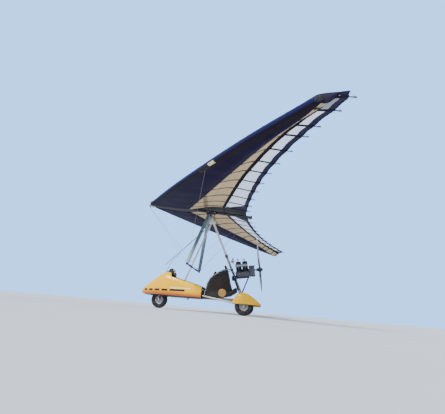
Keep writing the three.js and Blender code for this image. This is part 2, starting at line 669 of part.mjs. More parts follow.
for (const [where, end, holders] of upperStays) {
  place(wing, `stay_upper_${where}`, "wireSteel", (g) => [wire(postTop, end, g)], ["kingpost", ...holders]);
}

// Sail. Trailing edge rows are [sideways, aft, height]; the underside skin ends at its own
// edge, rows [sideways, aft], and behind that the sail is a single skin
const TRAILING_ROWS = [
  [0, 2285, 36],
  [740, 2350, 46],
  [1710, 2490, 66],
  [2660, 2680, 84],
  [3540, 2930, 102],
  [4260, 3185, 116],
  [4840, 3420, 124],
  [HALF_SPAN, 3420, 124],
];
const UNDERSKIN_ROWS = [
  [0, 1760],
  [370, 1830],
  [1700, 2145],
  [2600, 2390],
  [3980, 2860],
  [HALF_SPAN, 3340],
];
const CROWN_ROWS = [
  [0, 150],
  [2500, 112],
  [4200, 76],
  [HALF_SPAN, 52],
];
const SKIN = 6;
const POCKET_DEPTH = 44;
const SAIL_STATIONS = [0, 370, 740, 1220, 1710, 2180, 2660, 3080, 3540, 3990, 4260, 4630, 4840, HALF_SPAN];
// Share of the chord, and height of the upper skin as a share of the crown
const UPPER_ROWS = [
  [0, 0], [0.012, 0.36], [0.04, 0.62], [0.1, 0.86], [0.2, 0.99], [0.32, 1], [0.48, 0.87], [0.64, 0.65],
  [0.8, 0.37], [0.92, 0.15], [1, 0.05],
];
const upperShares = [0.003, 0.012, 0.04, 0.1, 0.2, 0.32, 0.48, 0.64, 0.8, 1];
const lowerShares = [0.97, 0.8, 0.62, 0.46, 0.3, 0.16, 0.07, 0.025];

function sailHeight(y, share) {
  return lookUp(CROWN_ROWS, y) * lookUp(UPPER_ROWS, share) + lookUp(TRAILING_ROWS, y, 2) * share ** 1.5;
}

function sailRing(y, sign) {
  const front = edgeAft(y);
  const chord = lookUp(TRAILING_ROWS, y) - front;
  const fold = (lookUp(UNDERSKIN_ROWS, y) - front) / chord;
  const point = (share, z) => V(-(front + share * chord), sign * y, z);
  const upper = upperShares.map((share) => point(share, sailHeight(y, share)));
  const single = [1, (1 + fold) / 2, fold + 0.012].map((share) => point(share, sailHeight(y, share) - SKIN));
  const lower = lowerShares.map((part) => {
    const share = part * fold;
    const t = Math.min(Math.max((part - 0.42) / 0.58, 0), 1);
    const closing = t * t * (3 - 2 * t);
    const deep = -POCKET_DEPTH * Math.min(1, Math.sqrt(part / 0.16));
    return point(share, (1 - closing) * deep + closing * (sailHeight(y, share) - SKIN - 12));
  });
  return [...upper, ...single, ...lower];
}

function sailForm() {
  const starboard = SAIL_STATIONS.toReversed().slice(0, -1).map((y) => sailRing(y, -1));
  const port = SAIL_STATIONS.map((y) => sailRing(y, 1));
  return loft([...starboard, ...port]);
}

// Dark middle panel along the keel: rows are [aft, half width]
const KEEL_PANEL_ROWS = [
  [-50, 58],
  [300, 66],
  [1000, 125],
  [1830, 270],
  [2600, 272],
];
function keelPanel(grow) {
  const port = KEEL_PANEL_ROWS.map(([a, half]) => [-a, half + grow]);
  const starboard = KEEL_PANEL_ROWS.toReversed().map(([a, half]) => [-a, -half - grow]);
  return prism([...port, ...starboard], -300, 400);
}

// Batten ends stand out behind the sail, at these distances from the keel
const BATTENS = [340, 740, 1220, 1710, 2180, 2660, 3080, 3540, 3990, 4260, 4630, 4900];
const BATTEN_OUT = 80;
const BATTEN_RADIUS = 5;

function battenEnds(sign) {
  return BATTENS.map((y) => {
    const back = lookUp(TRAILING_ROWS, y);
    const z = sailHeight(y, 1) - SKIN / 2;
    return tube(aft(back - 40, sign * y, z), aft(back + BATTEN_OUT, sign * y, z), BATTEN_RADIUS, 0, 8);
  });
}

const wingHolders = ["keel_tube", "nose_plate", "keel_bracket", "kingpost"];
const wholeSail = toSolid(sailForm());
const noseCut = toSolid(box([-46, -90, -100], [60, 90, 140]));
let middle = wholeSail.intersect(toSolid(keelPanel(0))).subtract(noseCut);
for (const holder of [...wingHolders, "leading_edge_left", "leading_edge_right"]) {
  middle = middle.subtract(join(forms[holder](GAP)));
}
addSolid(wing, "sail_keel_panel", "sailBlack", middle);
for (const [side, sign] of SIDES) {
  const half = wholeSail.intersect(toSolid(box(
    sign > 0 ? [-4000, 1, -400] : [-4000, -HALF_SPAN - 50, -400],
    sign > 0 ? [100, HALF_SPAN + 50, 500] : [100, -1, 500],
  )));
  let sail = half.add(join(battenEnds(sign))).subtract(toSolid(keelPanel(GAP))).subtract(noseCut);
  for (const holder of ["nose_plate", `leading_edge_${side}`, `stay_lower_side_${side}`, `stay_upper_${side}`]) {
    sail = sail.subtract(join(forms[holder](GAP)));
  }
  addSolid(wing, `sail_${side}`, "sailNavy", sail);
}

craft.position.x = REAR_AXLE_X;
export default craft;
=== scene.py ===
# %% [markdown]
# # A powered hang glider, dressed around its frame
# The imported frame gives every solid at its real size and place. This lesson gives each of them the
# surface that the eye expects: cloth sails on battens, a moulded pod, tubes, wires, an engine and wheels.
# Nothing is moved: a finer piece takes the place of its solid, in the same metres.

# %% Load the frame
import json
import math

import bmesh
import bpy
import numpy as np
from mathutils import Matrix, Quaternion, Vector


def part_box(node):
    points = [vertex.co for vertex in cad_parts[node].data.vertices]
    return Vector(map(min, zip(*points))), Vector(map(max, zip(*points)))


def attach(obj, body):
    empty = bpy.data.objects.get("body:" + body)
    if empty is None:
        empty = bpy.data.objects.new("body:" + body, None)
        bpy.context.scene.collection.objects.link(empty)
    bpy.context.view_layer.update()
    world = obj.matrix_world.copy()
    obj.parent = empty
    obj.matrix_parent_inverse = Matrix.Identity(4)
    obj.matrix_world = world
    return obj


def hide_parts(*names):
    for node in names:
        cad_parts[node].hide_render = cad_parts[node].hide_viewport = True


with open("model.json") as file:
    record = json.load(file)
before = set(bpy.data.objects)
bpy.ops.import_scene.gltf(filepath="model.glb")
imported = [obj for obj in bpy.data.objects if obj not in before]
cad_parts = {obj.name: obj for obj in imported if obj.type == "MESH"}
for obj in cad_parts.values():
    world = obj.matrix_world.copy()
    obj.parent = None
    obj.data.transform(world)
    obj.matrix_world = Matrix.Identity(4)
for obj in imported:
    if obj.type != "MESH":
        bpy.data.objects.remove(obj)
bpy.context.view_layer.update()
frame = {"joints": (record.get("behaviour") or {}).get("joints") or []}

# %% [markdown]
# The pieces are easiest to describe in the frames that a maker would use: the trike's, measured forward
# of the rear axle; the wing's, measured aft of its nose; and the engine's, on its tilted tray. Each is
# found from the frame's own joints and boxes, so the scene follows the solids. All of them take
# millimetres and give metres, and so do radii and profiles below.

# %% Three working frames
JOINTS = {joint["name"]: joint for joint in frame["joints"]}
PORT, UP = np.eye(3)[1:]
AXLE_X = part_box("base_beam")[0].x + 0.035
PITCH = math.atan2(JOINTS["wing_roll"]["axis"][2], JOINTS["wing_roll"]["axis"][0])
TILT = math.atan2(-JOINTS["propeller_spin"]["axis"][2], JOINTS["propeller_spin"]["axis"][0])
FORWARD = np.array([math.cos(PITCH), 0, math.sin(PITCH)])
UPWARD = np.array([-math.sin(PITCH), 0, math.cos(PITCH)])
BAY_AHEAD = np.array([math.cos(TILT), 0, -math.sin(TILT)])
BAY_UP = np.array([math.sin(TILT), 0, math.cos(TILT)])
HANG_AFT, ROLL_DROP = 1530, 110


def columns(x, y, z):
    """Three numbers or arrays side by side as points."""
    return np.stack(np.broadcast_arrays(*(np.asarray(v, float) for v in (x, y, z))), -1)


def framed(origin, ahead, above):
    """The function that puts a frame's own x, y and z into the room."""
    axes = np.stack([ahead, PORT, above])
    return lambda x, y, z: columns(x, y, z) / 1000 @ axes + origin


trike = framed([AXLE_X, 0, 0], [1, 0, 0], UP)
wing = framed(JOINTS["wing_roll"]["pos_m"] + (HANG_AFT * FORWARD + ROLL_DROP * UPWARD) / 1000, -FORWARD, UPWARD)
bay = framed([0.080 + AXLE_X, 0, 0.800], BAY_AHEAD, BAY_UP)
print("rear axle at", round(AXLE_X, 4), "wing nose at", wing(0, 0, 0).round(4))

# %% [markdown]
# The photograph looks up at the machine from below and abeam of its port side. The craft stands on its
# wheels here, so the camera lies on the floor, close enough to look up under the near wing.

# %% Camera
CAMERA_AT = Vector((-0.90, 8.2, 0.08))
CAMERA_TARGET = Vector((0.03, 0.0, 2.36))
CAMERA_FIELD, CAMERA_ROLL = math.radians(62), math.radians(5)


def added(name, data):
    """A new object in the scene, at the origin."""
    made = bpy.data.objects.new(name, data)
    bpy.context.collection.objects.link(made)
    return made


camera = added("photo_view", bpy.data.cameras.new("photo_view"))
camera.data.sensor_fit = "HORIZONTAL"
camera.data.angle = CAMERA_FIELD
camera.location = CAMERA_AT
camera.rotation_mode = "QUATERNION"
aim = CAMERA_TARGET - CAMERA_AT
camera.rotation_quaternion = aim.to_track_quat("-Z", "Y") @ Quaternion((0, 0, 1), CAMERA_ROLL)
bpy.context.scene.camera = camera
print("camera looks up by", round(math.degrees(math.atan2(aim.z, aim.xy.length)), 1), "degrees")

# %% [markdown]
# ## Shapes as arrays
# A shape here is a pair: points, and faces that name them. Skins are grids of points worked out at once.
# Curves and tables of rows share one way of easing from value to value, and angles go round in steps.

# %% Curves, unit vectors and skins
def eased(rows, x, column=1):
    """Value at x in a table of rows: cubic pieces that pass through every row and share its slope."""
    rows = np.asarray(rows, float)
    xs, ys = rows[np.argsort(rows[:, 0])][:, [0, column]].T
    after, before = np.r_[1:len(xs), len(xs) - 1], np.r_[0, 0:len(xs) - 1]
    slopes = (ys[after] - ys[before]) / (xs[after] - xs[before])
    x = np.clip(np.asarray(x, float), xs[0], xs[-1])
    k = np.clip(np.searchsorted(xs, x, side="right") - 1, 0, len(xs) - 2)
    span = xs[k + 1] - xs[k]
    t = (x - xs[k]) / span
    return ((2 * t**3 - 3 * t**2 + 1) * ys[k] + (t**3 - 2 * t**2 + t) * span * slopes[k]
            + (3 * t**2 - 2 * t**3) * ys[k + 1] + (t**3 - t**2) * span * slopes[k + 1])


def unit(vectors):
    """Vectors brought to length one."""
    return vectors / np.linalg.norm(vectors, axis=-1, keepdims=True)


def angles(count, closed=False):
    """Angles once round; closed adds the first one again at the end."""
    return np.linspace(0, 2 * math.pi, count, endpoint=closed)


def spots(place, rows):
    """Rows of x, y, z put into the room by a frame."""
    return place(*np.moveaxis(np.asarray(rows, float), -1, 0))


def swell(value, power):
    """Keeps the sign and raises the size to 2 / power: a circle's sine and cosine treated so give a
    superellipse."""
    return np.sign(value) * np.abs(value) ** (2 / power)


def skin(points, wrap=False, closed_ends=False):
    """Quads over a grid of points. wrap joins the last column to the first, and closed_ends adds a
    fan of triangles to the middle of the first and last rows."""
    rows, cols = points.shape[:2]
    ids = np.arange(rows * cols).reshape(rows, cols)
    if wrap:
        ids = np.hstack([ids, ids[:, :1]])
    faces = np.stack([ids[:-1, :-1], ids[:-1, 1:], ids[1:, 1:], ids[1:, :-1]], -1).reshape(-1, 4).tolist()
    flat = points.reshape(-1, 3)
    if closed_ends:
        for row, hub in ((ids[0], rows * cols), (ids[-1], rows * cols + 1)):
            faces += np.stack([row[:-1], row[1:], np.full(len(row) - 1, hub)], -1).tolist()
        flat = np.vstack([flat, points[0].mean(0), points[-1].mean(0)])
    return flat, faces


def lofted(rings):
    """Closed form through a stack of rings."""
    return skin(rings, wrap=True, closed_ends=True)


def smooth_path(points, count):
    """Curve through the points: each coordinate is eased over the length walked so far."""
    points = np.asarray(points, float)
    walked = np.r_[0, np.cumsum(np.linalg.norm(np.diff(points, axis=0), axis=1))]
    at = np.linspace(0, walked[-1], count)
    return np.stack([eased(np.c_[walked, points[:, i]], at) for i in range(3)], -1)


# %% [markdown]
# A tube is a ring carried along a path; a wheel is a profile turned about its axle; a block is a sphere
# swollen to a box; a plate is an outline carried sideways. These five forms make nearly all the machine.

# %% Tubes, turned forms, blocks and plates
def swept(path, radii, sides=20, flat=1.0):
    """Tube: at each path point a ring of radius r, squeezed by flat across. The ring's first direction
    is square to the path and to the world axis that the path follows least."""
    ahead = unit(np.gradient(path, axis=0))
    first = unit(np.cross(np.eye(3)[np.argmin(np.abs(ahead).max(0))], ahead))
    second = np.cross(ahead, first)
    turn = angles(sides)[None, :, None]
    radii = np.broadcast_to(np.asarray(radii, float) / 1000, len(path))[:, None, None]
    return lofted(path[:, None] + radii * (np.cos(turn) * first[:, None] + flat * np.sin(turn) * second[:, None]))


def rod(a, b, radius, sides=20, edge=0.12, flat=1.0):
    """Straight bar with softly rounded ends: the last edge share of a radius narrows at each end."""
    step = unit(b - a) * radius / 1000 * edge
    path = np.stack([a, a + step * 0.3, a + step, b - step, b - step * 0.3, b])
    return swept(path, radius * np.array([1 - edge, 1 - edge * 0.3, 1, 1, 1 - edge * 0.3, 1 - edge]), sides, flat)


def pipe(points, radius, count=40, sides=16):
    """Bent tube of one radius through the points."""
    return swept(smooth_path(points, count), radius, sides)


def turned(profile, centre, axis, segments=64):
    """Profile rows of [distance from the axis, place along it], turned all the way round. A profile
    that starts and ends on the axis makes a solid form; any other closes on its first row as a ring."""
    axis = unit(np.asarray(axis, float))
    first = unit(np.cross(axis, np.eye(3)[np.argmin(np.abs(axis))]))
    profile = np.asarray(profile, float) / 1000
    if profile[0][0] > 0:
        profile = np.vstack([profile, profile[:1]])
    turn = angles(segments)[:, None]
    spoke = np.cos(turn) * first + np.sin(turn) * np.cross(axis, first)
    points = centre + profile[None, :, 1:] * axis + profile[None, :, :1] * spoke[:, None]
    flat, faces = skin(np.vstack([points, points[:1]]))
    wrap = len(profile) * segments
    return flat[:wrap], [[i % wrap for i in cell] for cell in faces]


def soft_block(low, high, place, power=6.0, rows=14, cols=36):
    """Rounded box from low to high: a sphere whose sines and cosines are raised to 2 / power, so a large
    power makes flat faces and small corners. place puts it into the room. The rows at the poles are
    drawn to one point each, and put() merges them."""
    low, high = np.array(low, float), np.array(high, float)
    v, u = np.linspace(-math.pi / 2, math.pi / 2, rows)[:, None], angles(cols)
    reach = swell(np.cos(v), power)
    reach[[0, -1]] = 0
    ball = columns(reach * swell(np.cos(u), power), reach * swell(np.sin(u), power), swell(np.sin(v), power))
    return skin(spots(place, (low + high) / 2 + (high - low) / 2 * ball), wrap=True)


def slab(outline, low, high, place):
    """Flat outline of [x, z] rows, carried sideways from y = low to y = high."""
    x, z = np.array(outline, float).T
    count = len(x)
    faces = [[i, (i + 1) % count, count + (i + 1) % count, count + i] for i in range(count)]
    return (np.vstack([place(x, y, z) for y in (low, high)]),
            faces + [list(range(count)), list(range(2 * count - 1, count - 1, -1))])


def joined(*shapes):
    """Several shapes as one, their faces renumbered."""
    faces, start = [], 0
    for points, cells in shapes:
        faces += [[i + start for i in cell] for cell in cells]
        start += len(points)
    return np.vstack([points for points, _ in shapes]), faces


# %% [markdown]
# Every shape enters the scene by one door, put(), so that each piece is cleaned, shaded, given its finish
# and tied to its body in the same way. A finish keeps the name of its usual slot of the frame's palette.

# %% Put a shape into the scene
SIDES = (("left", 1), ("right", -1))
SLOT_OF = {}


def mesh_of(name, shape, marks=None):
    """A shape as a mesh: double points merged, faces turned outwards. marks are named arrays of one
    vector a point, kept as attributes for the finishes."""
    mesh = bpy.data.meshes.new(name)
    mesh.from_pydata(shape[0].tolist(), [], shape[1])
    for key, values in (marks or {}).items():
        mesh.attributes.new(key, "FLOAT_VECTOR", "POINT").data.foreach_set("vector", values.ravel())
    work = bmesh.new()
    work.from_mesh(mesh)
    bmesh.ops.remove_doubles(work, verts=work.verts, dist=1e-6)
    bmesh.ops.recalc_face_normals(work, faces=work.faces)
    work.to_mesh(mesh)
    work.free()
    return mesh


def shaded(piece, sharp):
    """Smooth shading below an angle in degrees."""
    piece.data.shade_smooth()
    piece.data.set_sharp_from_angle(angle=math.radians(sharp))
    return piece


def modified(piece, kind, **settings):
    """A modifier with its settings; returns it."""
    made = piece.modifiers.new(kind.lower(), kind)
    for key, value in settings.items():
        setattr(made, key, value)
    return made


def put(name, shape, look, stands_for="", body="trike", slot=None, bevel=0.0, sharp=40, marks=None):
    """A shape, or a list of them, becomes a piece with a finish, and a bevel where asked. It rides on
    a body and may stand for solids of the frame, whose names have spaces between them."""
    piece = added(name, mesh_of(name, joined(*shape) if isinstance(shape, list) else shape, marks))
    shaded(piece, sharp)
    piece.data.materials.append(look)
    if bevel:
        modified(piece, "BEVEL", width=bevel / 1000, segments=3, limit_method="ANGLE", harden_normals=True)
    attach(piece, body)
    slot or SLOT_OF[look.name]
    if stands_for:
        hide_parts(*stands_for.split())
    print("piece", name, "has", len(piece.data.polygons), "faces")
    return piece


# %% [markdown]
# ## Finishes
# A finish is a small sum: dust here, a stripe there, a scratch where the noise is high. Written as node
# links that sum is hard to read, so one small class lets it stand as an expression. Numbers alone are
# worked out in Python; a Math node appears only where a socket takes part.

# %% A socket that does sums
class Shade:
    """A socket in a material. Arithmetic on it adds Math nodes, and node() adds any other node."""

    def __init__(self, tree, socket=None):
        self.tree, self.socket = tree, socket

    def node(self, kind, sockets=None, output=0, **settings):
        """Adds a node of a kind: settings first, then its sockets' values or links by name or place."""
        made = self.tree.nodes.new("ShaderNode" + kind)
        for key, value in settings.items():
            setattr(made, key, value)
        for key, value in (sockets or {}).items():
            if isinstance(value, Shade):
                self.tree.links.new(value.socket, made.inputs[key])
            else:
                made.inputs[key].default_value = value
        return Shade(self.tree, made.outputs[output])

    def math(self, operation, *values, clamp=False):
        return self.node("Math", dict(enumerate(values)), operation=operation, use_clamp=clamp)

    def __add__(self, other):
        return self.math("ADD", self, other)

    def __sub__(self, other):
        return self.math("SUBTRACT", self, other)

    def __rsub__(self, other):
        return self.math("SUBTRACT", other, self)

    def __mul__(self, other):
        return self.math("MULTIPLY", self, other)

    def __truediv__(self, other):
        return self.math("DIVIDE", self, other)

    __radd__, __rmul__ = __add__, __mul__

    def size(self):
        return self.math("ABSOLUTE", self)

    def past(self, limit, soft=0.002):
        """Mask: 0 below the limit, 1 above it, with a soft step between."""
        return self.math("MULTIPLY_ADD", self, 1 / soft, 0.5 - limit / soft, clamp=True)

    def between(self, low, high, soft=0.002):
        return self.past(low, soft) * (1 - self.past(high, soft))

    def either(self, other):
        return self.math("MAXIMUM", self, other)

    def parts(self):
        """The three numbers of a vector."""
        split = self.node("SeparateXYZ", {0: self}).socket.node
        return [Shade(self.tree, socket) for socket in split.outputs]

    def mix(self, low, high):
        """Colour: low where this mask is 0, high where it is 1."""
        return self.node("Mix", {0: self, 6: low, 7: high}, output=2, data_type="RGBA")


# %% [markdown]
# A finish starts from its piece's own coordinates in metres, so that a weave or a scratch has the size
# that it has on the real machine. Colours are given as they look on a screen.

# %% The start of every finish
class Paint(Shade):
    """Start of a finish: gives the piece's coordinates, its own marks and noise of a real size."""

    def place(self):
        return self.node("TexCoord", output=3)

    def mark(self, name):
        return self.node("Attribute", output=1, attribute_name=name)

    def noise(self, scale, detail=3.0, squeeze=(1, 1, 1)):
        spot = self.node("Mapping", {0: self.place(), 3: squeeze})
        return self.node("TexNoise", {"Vector": spot, "Scale": scale, "Detail": detail, "Roughness": 0.55})

    def cells(self, scale):
        spot = self.node("Mapping", {0: self.place()})
        return self.node("TexVoronoi", {"Vector": spot, "Scale": scale})

    def waves(self, scale, direction="X", at=None):
        return self.node("TexWave", {"Vector": at or self.place(), "Scale": scale}, output=1,
                         wave_type="BANDS", bands_direction=direction)

    def bump(self, height, depth, strength=1.0, under=None):
        sockets = {"Height": height, "Distance": depth, "Strength": strength}
        return self.node("Bump", sockets | ({"Normal": under} if under else {}))


def rgb(r, g, b):
    """A colour given as it looks on a screen, 0 to 255, turned into the linear light that shaders use."""
    part = lambda v: v / 12.92 if v <= 0.04045 else ((v + 0.055) / 1.055) ** 2.4
    return (part(r / 255), part(g / 255), part(b / 255), 1.0)


def darker(color, share):
    return tuple(share * c for c in color[:3]) + (1,)


def finish(name, recipe, slot=None, **constants):
    """A material whose Principled shader takes the recipe's links and the constants by socket name. Its
    slot in the frame's palette has the same name unless another is given."""
    made = bpy.data.materials.new(name)
    made.use_nodes = True
    shader = made.node_tree.nodes["Principled BSDF"]
    for key, value in constants.items():
        shader.inputs[key.replace("_", " ")].default_value = value
    for key, value in recipe(Paint(made.node_tree)).items():
        made.node_tree.links.new(value.socket, shader.inputs[key])
    SLOT_OF[made.name] = slot or name
    print("finish", name, "has", len(made.node_tree.nodes), "nodes")
    return made


# %% [markdown]
# Most of the frame is painted tube, bare alloy, steel or moulded plastic. Each recipe below has the same
# three parts: a colour that wanders a little, a roughness that wanders with it, and a fine bump of the
# size that the real surface has, such as the draw lines of a tube or the pimples of a moulding.

# %% Hard finishes
def painted(name, color, worn, slot=None, gloss=0.35, coat=0.3, dust=0.25, speck=90):
    """Paint over metal: blotches at hand size, chips where two noises meet, orange-peel bump."""
    def recipe(p):
        blotch = p.noise(3.0, 4)
        chips = p.noise(speck, 2).past(0.69, 0.02) * p.noise(9, 3).past(0.56, 0.05)
        shade = blotch.past(0.5, 0.9).mix(darker(color, 0.86), color)
        grime = p.noise(1.7, 5, (1, 1, 2)).past(0.55, 0.5) * dust
        return {"Base Color": chips.mix(grime.mix(shade, rgb(120, 112, 100)), worn),
                "Roughness": blotch * 0.2 + (gloss - 0.1) + chips * 0.2,
                "Normal": p.bump(p.noise(220, 2), 0.0002, 0.35, p.bump(1 - chips, 0.0002, 0.5))}
    return finish(name, recipe, slot, Coat_Weight=coat, Coat_Roughness=0.25)


def metal(name, color, slot=None, rough=0.34, streak=(1, 1, 14), dull=0.7, metallic=0.85, grain=60):
    """Bare or anodised metal: drawn streaks, dull patches, fine scratches along one direction."""
    def recipe(p):
        drawn = p.noise(grain, 3, streak)
        patch = p.noise(5, 4).past(0.5, 0.6)
        marks = p.noise(140, 1, (1, 8, 1)).past(0.66, 0.05)
        tone = drawn.past(0.5, 0.8).mix(darker(color, 0.8), color)
        return {"Base Color": (patch * dull * 0.5).mix(tone, darker(color, 0.62)),
                "Roughness": patch * 0.16 + drawn * 0.14 + marks * 0.12 + (rough - 0.1),
                "Normal": p.bump(drawn + marks * 0.4, 0.00025, 0.4)}
    return finish(name, recipe, slot, Metallic=metallic)


def moulded(name, color, slot="black_plastic", rough=0.5, pimple=380):
    """Moulded plastic or rubber: pimples from small cells, pale scuffs, a slow change of gloss."""
    def recipe(p):
        scuffs = p.noise(44, 5, (1, 1, 3)).past(0.64, 0.10) * 0.22
        tone = p.noise(4, 3).past(0.5, 0.8).mix(darker(color, 0.75), color)
        return {"Base Color": scuffs.mix(tone, rgb(110, 108, 104)), "Roughness": p.noise(7, 2) * 0.24 + (rough - 0.1),
                "Normal": p.bump(p.cells(pimple), 0.0003, 0.3)}
    return finish(name, recipe, slot)


def plain(name, slot, tone, low, high, gloss, relief=None, **constants):
    """Two colours mixed by a tone, a gloss of noise scale, detail, gain and base, and a relief."""
    def recipe(p):
        links = {"Base Color": tone(p).mix(low, high), "Roughness": p.noise(*gloss[:2]) * gloss[2] + gloss[3]}
        return links | ({"Normal": relief(p)} if relief else {})
    return finish(name, recipe, slot, **constants)


TAN_PAINT = painted("tan_paint", rgb(196, 176, 140), rgb(120, 112, 100), gloss=0.45, dust=0.35)
WHITE_PAINT = painted("white_paint", rgb(236, 230, 222), rgb(130, 128, 124))
ALLOY = metal("alloy_tube", rgb(184, 188, 194), "alloy")
DARK_ALLOY = metal("dark_alloy", rgb(74, 77, 82), rough=0.42, dull=0.5, metallic=0.75)
GREY_BLUE = metal("grey_blue_tube", rgb(144, 172, 178), "grey_blue_alloy", rough=0.4, metallic=0.5)
BOLT_STEEL = metal("bolt_steel", rgb(196, 194, 188), "alloy", rough=0.3, streak=(4, 4, 4))
WIRE_STEEL = metal("wire_steel", rgb(150, 153, 158), rough=0.36, streak=(9, 9, 9), grain=240)
BLACK_PLASTIC = moulded("black_plastic", rgb(34, 33, 35))
BLACK_RUBBER = moulded("black_rubber", rgb(26, 26, 27), rough=0.7, pimple=260)
GRIP_FOAM = moulded("grip_foam", rgb(30, 30, 32), rough=0.85, pimple=520)
print("finishes so far", len(bpy.data.materials))

# %% [markdown]
# ## The sail
# The wing is two skins of polyester cloth. The upper one runs from the leading edge to the trailing
# edge over curved battens; the lower one ends part of the way back, so behind it light shines through a
# single skin. Each skin is worked out as height over a plan: a crown that falls towards the tip, times
# the section's own curve, plus a soft swell of the cloth between two battens. Columns of the grid stand
# close together beside every batten, so that the sewn pocket is a real ridge.

# %% Plan and section of the wing, in millimetres
HALF_SPAN = 5000
EDGE_ROWS = [(0, 0), (1430, 812), (2860, 1680), (4000, 2400), (5000, 3080)]
TRAILING_ROWS = [(0, 2285, 36), (740, 2350, 46), (1710, 2490, 66), (2660, 2680, 84), (3540, 2930, 102),
                 (4260, 3185, 116), (4840, 3420, 124), (5000, 3420, 124)]
UNDERSKIN_ROWS = [(0, 1760), (370, 1830), (1700, 2145), (2600, 2390), (3980, 2860), (5000, 3340)]
CROWN_ROWS = [(0, 150), (2500, 112), (4200, 76), (5000, 52)]
UPPER_ROWS = [(0, 0), (0.012, 0.36), (0.04, 0.62), (0.1, 0.86), (0.2, 0.99), (0.32, 1), (0.48, 0.87),
              (0.64, 0.65), (0.8, 0.37), (0.92, 0.15), (1, 0.05)]
KEEL_PANEL_ROWS = [(-50, 58), (300, 66), (1000, 125), (1830, 270), (2600, 272)]
BATTENS = np.array([340, 740, 1220, 1710, 2180, 2660, 3080, 3540, 3990, 4260, 4630, 4900], float)
RIBS = np.r_[0, BATTENS, HALF_SPAN]
BATTEN_OUT, SKIN, TUBE_HUG, SCALLOP = 80, 6, 39, 10


def bay_share(y):
    """How far y is between its two battens, from 0 to 1, as a hump: 0 at a batten and 1 midway."""
    k = np.clip(np.searchsorted(RIBS, np.abs(y), side="right") - 1, 0, len(RIBS) - 2)
    return np.sin(math.pi * (np.abs(y) - RIBS[k]) / (RIBS[k + 1] - RIBS[k])) ** 2


def rib_distance(y):
    """Distance to the nearest batten."""
    return np.abs(np.abs(y)[..., None] - BATTENS).min(-1)


def front_edge(y):
    return eased(EDGE_ROWS, np.abs(y))


def rear_edge(y):
    return eased(TRAILING_ROWS, np.abs(y)) - SCALLOP * bay_share(y)


def chord_point(y, share):
    """Distance aft of the nose at a share of the chord."""
    return front_edge(y) + share * (rear_edge(y) - front_edge(y))


def under_depth(y):
    """How far behind the front edge the lower skin ends."""
    return eased(UNDERSKIN_ROWS, np.abs(y)) - front_edge(y)


def fold_share(y):
    """The same as a share of the chord."""
    return under_depth(y) / (rear_edge(y) - front_edge(y))


# %% [markdown]
# Below the leading edge tube the lower skin is a quarter ellipse; then it is nearly flat, and rises
# smoothly until it closes on the upper skin.

# %% Heights of the two skins
def upper_height(y, share, ridge=3.5):
    """Crown times section, plus the rear edge's own rise, plus swell between battens and a flat-topped
    ridge over each of them. Ahead of the first row the section is a root curve, so the nose is round."""
    curve = np.where(share < 0.012, 0.36 * np.sqrt(share / 0.012), eased(UPPER_ROWS, share))
    pocket = np.clip(1.8 - rib_distance(y) / 9, 0, 1) * np.clip(share / 0.05, 0, 1)
    return (eased(CROWN_ROWS, np.abs(y)) * curve + eased(TRAILING_ROWS, np.abs(y), 2) * share**1.5
            + 7 * bay_share(y) * np.sin(math.pi * np.clip(share, 0, 1)) + ridge * pocket)


def lower_height(y, part):
    """part runs from 0 at the leading edge to 1 at the lower skin's rear edge."""
    behind = part * under_depth(y)
    round_in = np.clip(behind / 46, 0, 1)
    hug = TUBE_HUG * np.sqrt(round_in * (2 - round_in))
    deep = hug + 5 * np.clip(behind / 300, 0, 1) + 5 * bay_share(y) * np.sin(math.pi * part)
    t = np.clip((part - 0.42) / 0.58, 0, 1)
    closing = t * t * (3 - 2 * t)
    return closing * (upper_height(y, part * fold_share(y), ridge=0) - 12) - (1 - closing) * deep


# %% [markdown]
# The grid in plan has five columns at each batten's pocket and four in each bay. Columns that stand
# inside the first batten lean inwards to meet the edge of the keel panel.

# %% The grid in plan
NEAR = (BATTENS[:, None] + [-16, -9, 0, 9, 16]).ravel()
MIDWAY = RIBS[1:-1] + np.diff(RIBS)[1:] * np.linspace(0, 1, 6)[1:-1, None]
ACROSS = np.unique(np.r_[272, 290, 308, NEAR, MIDWAY.ravel(), HALF_SPAN])
CHORDWISE = np.unique(np.r_[0, 0.0007, 0.002, 0.0045, 0.008, 0.012, np.linspace(0, 1, 62) ** 1.35])


def root_half(share):
    """Half width of the keel panel at a share of the chord: found in three rounds, because the chord
    itself depends on the distance from the keel."""
    y = np.full_like(share, 200)
    for _ in range(3):
        y = np.interp(chord_point(y, share), *np.array(KEEL_PANEL_ROWS).T)
    return y


def plan_grid(shares_to_root):
    """Grid of distances from the keel."""
    return ACROSS - (ACROSS[0] - root_half(shares_to_root)[:, None]) * np.clip((340 - ACROSS) / 68, 0, 1)


def sail_marks(y, a):
    """What the sail's finish reads, in metres: distances behind the front edge, from the keel and ahead
    of the rear edge; and distance aft, distance ahead of the lower skin's end, and from a batten."""
    y = np.abs(y)
    return {"sail": columns(a - front_edge(y), y, rear_edge(y) - a) / 1000,
            "zone": columns(a, eased(UNDERSKIN_ROWS, y) - a, rib_distance(y)) / 1000}


print(len(ACROSS), "columns by", len(CHORDWISE), "rows in each half of the sail")

# %% [markdown]
# The cloth's colours are laid out in the plan, so its finish reads two marks that every point carries:
# where it lies between the sail's edges, and where it lies against the battens. Navy runs along the
# leading edge as far back as a straight line; cream follows; a black band ends the lower skin, partly
# hem and partly painted shadow of the gap behind it. Painted shade lies over the leading edge tube, and
# painted shadows of the battens, the cross spar and an upper wire lie on the cream, seen through the
# cloth. Dacron is smooth and hard, so the finish has a very fine weave, soft creases that fan out, and
# two rows of stitches at every seam.

# %% Cloth of the lower skin
NAVY_DEEP, EDGE_BLUE = rgb(22, 15, 40), rgb(34, 36, 78)
HEM_BLACK = rgb(26, 23, 25)


def weave(p, strength=0.35):
    """Plain weave at real scale under long soft creases."""
    creases = p.noise(2.2, 5, (1.0, 2.2, 1.0)) + p.noise(9, 3, (1, 0.35, 1)) * 0.3
    return p.bump(p.waves(420, "X") + p.waves(420, "Y"), 0.0001, 0.25, p.bump(creases, 0.012, strength))


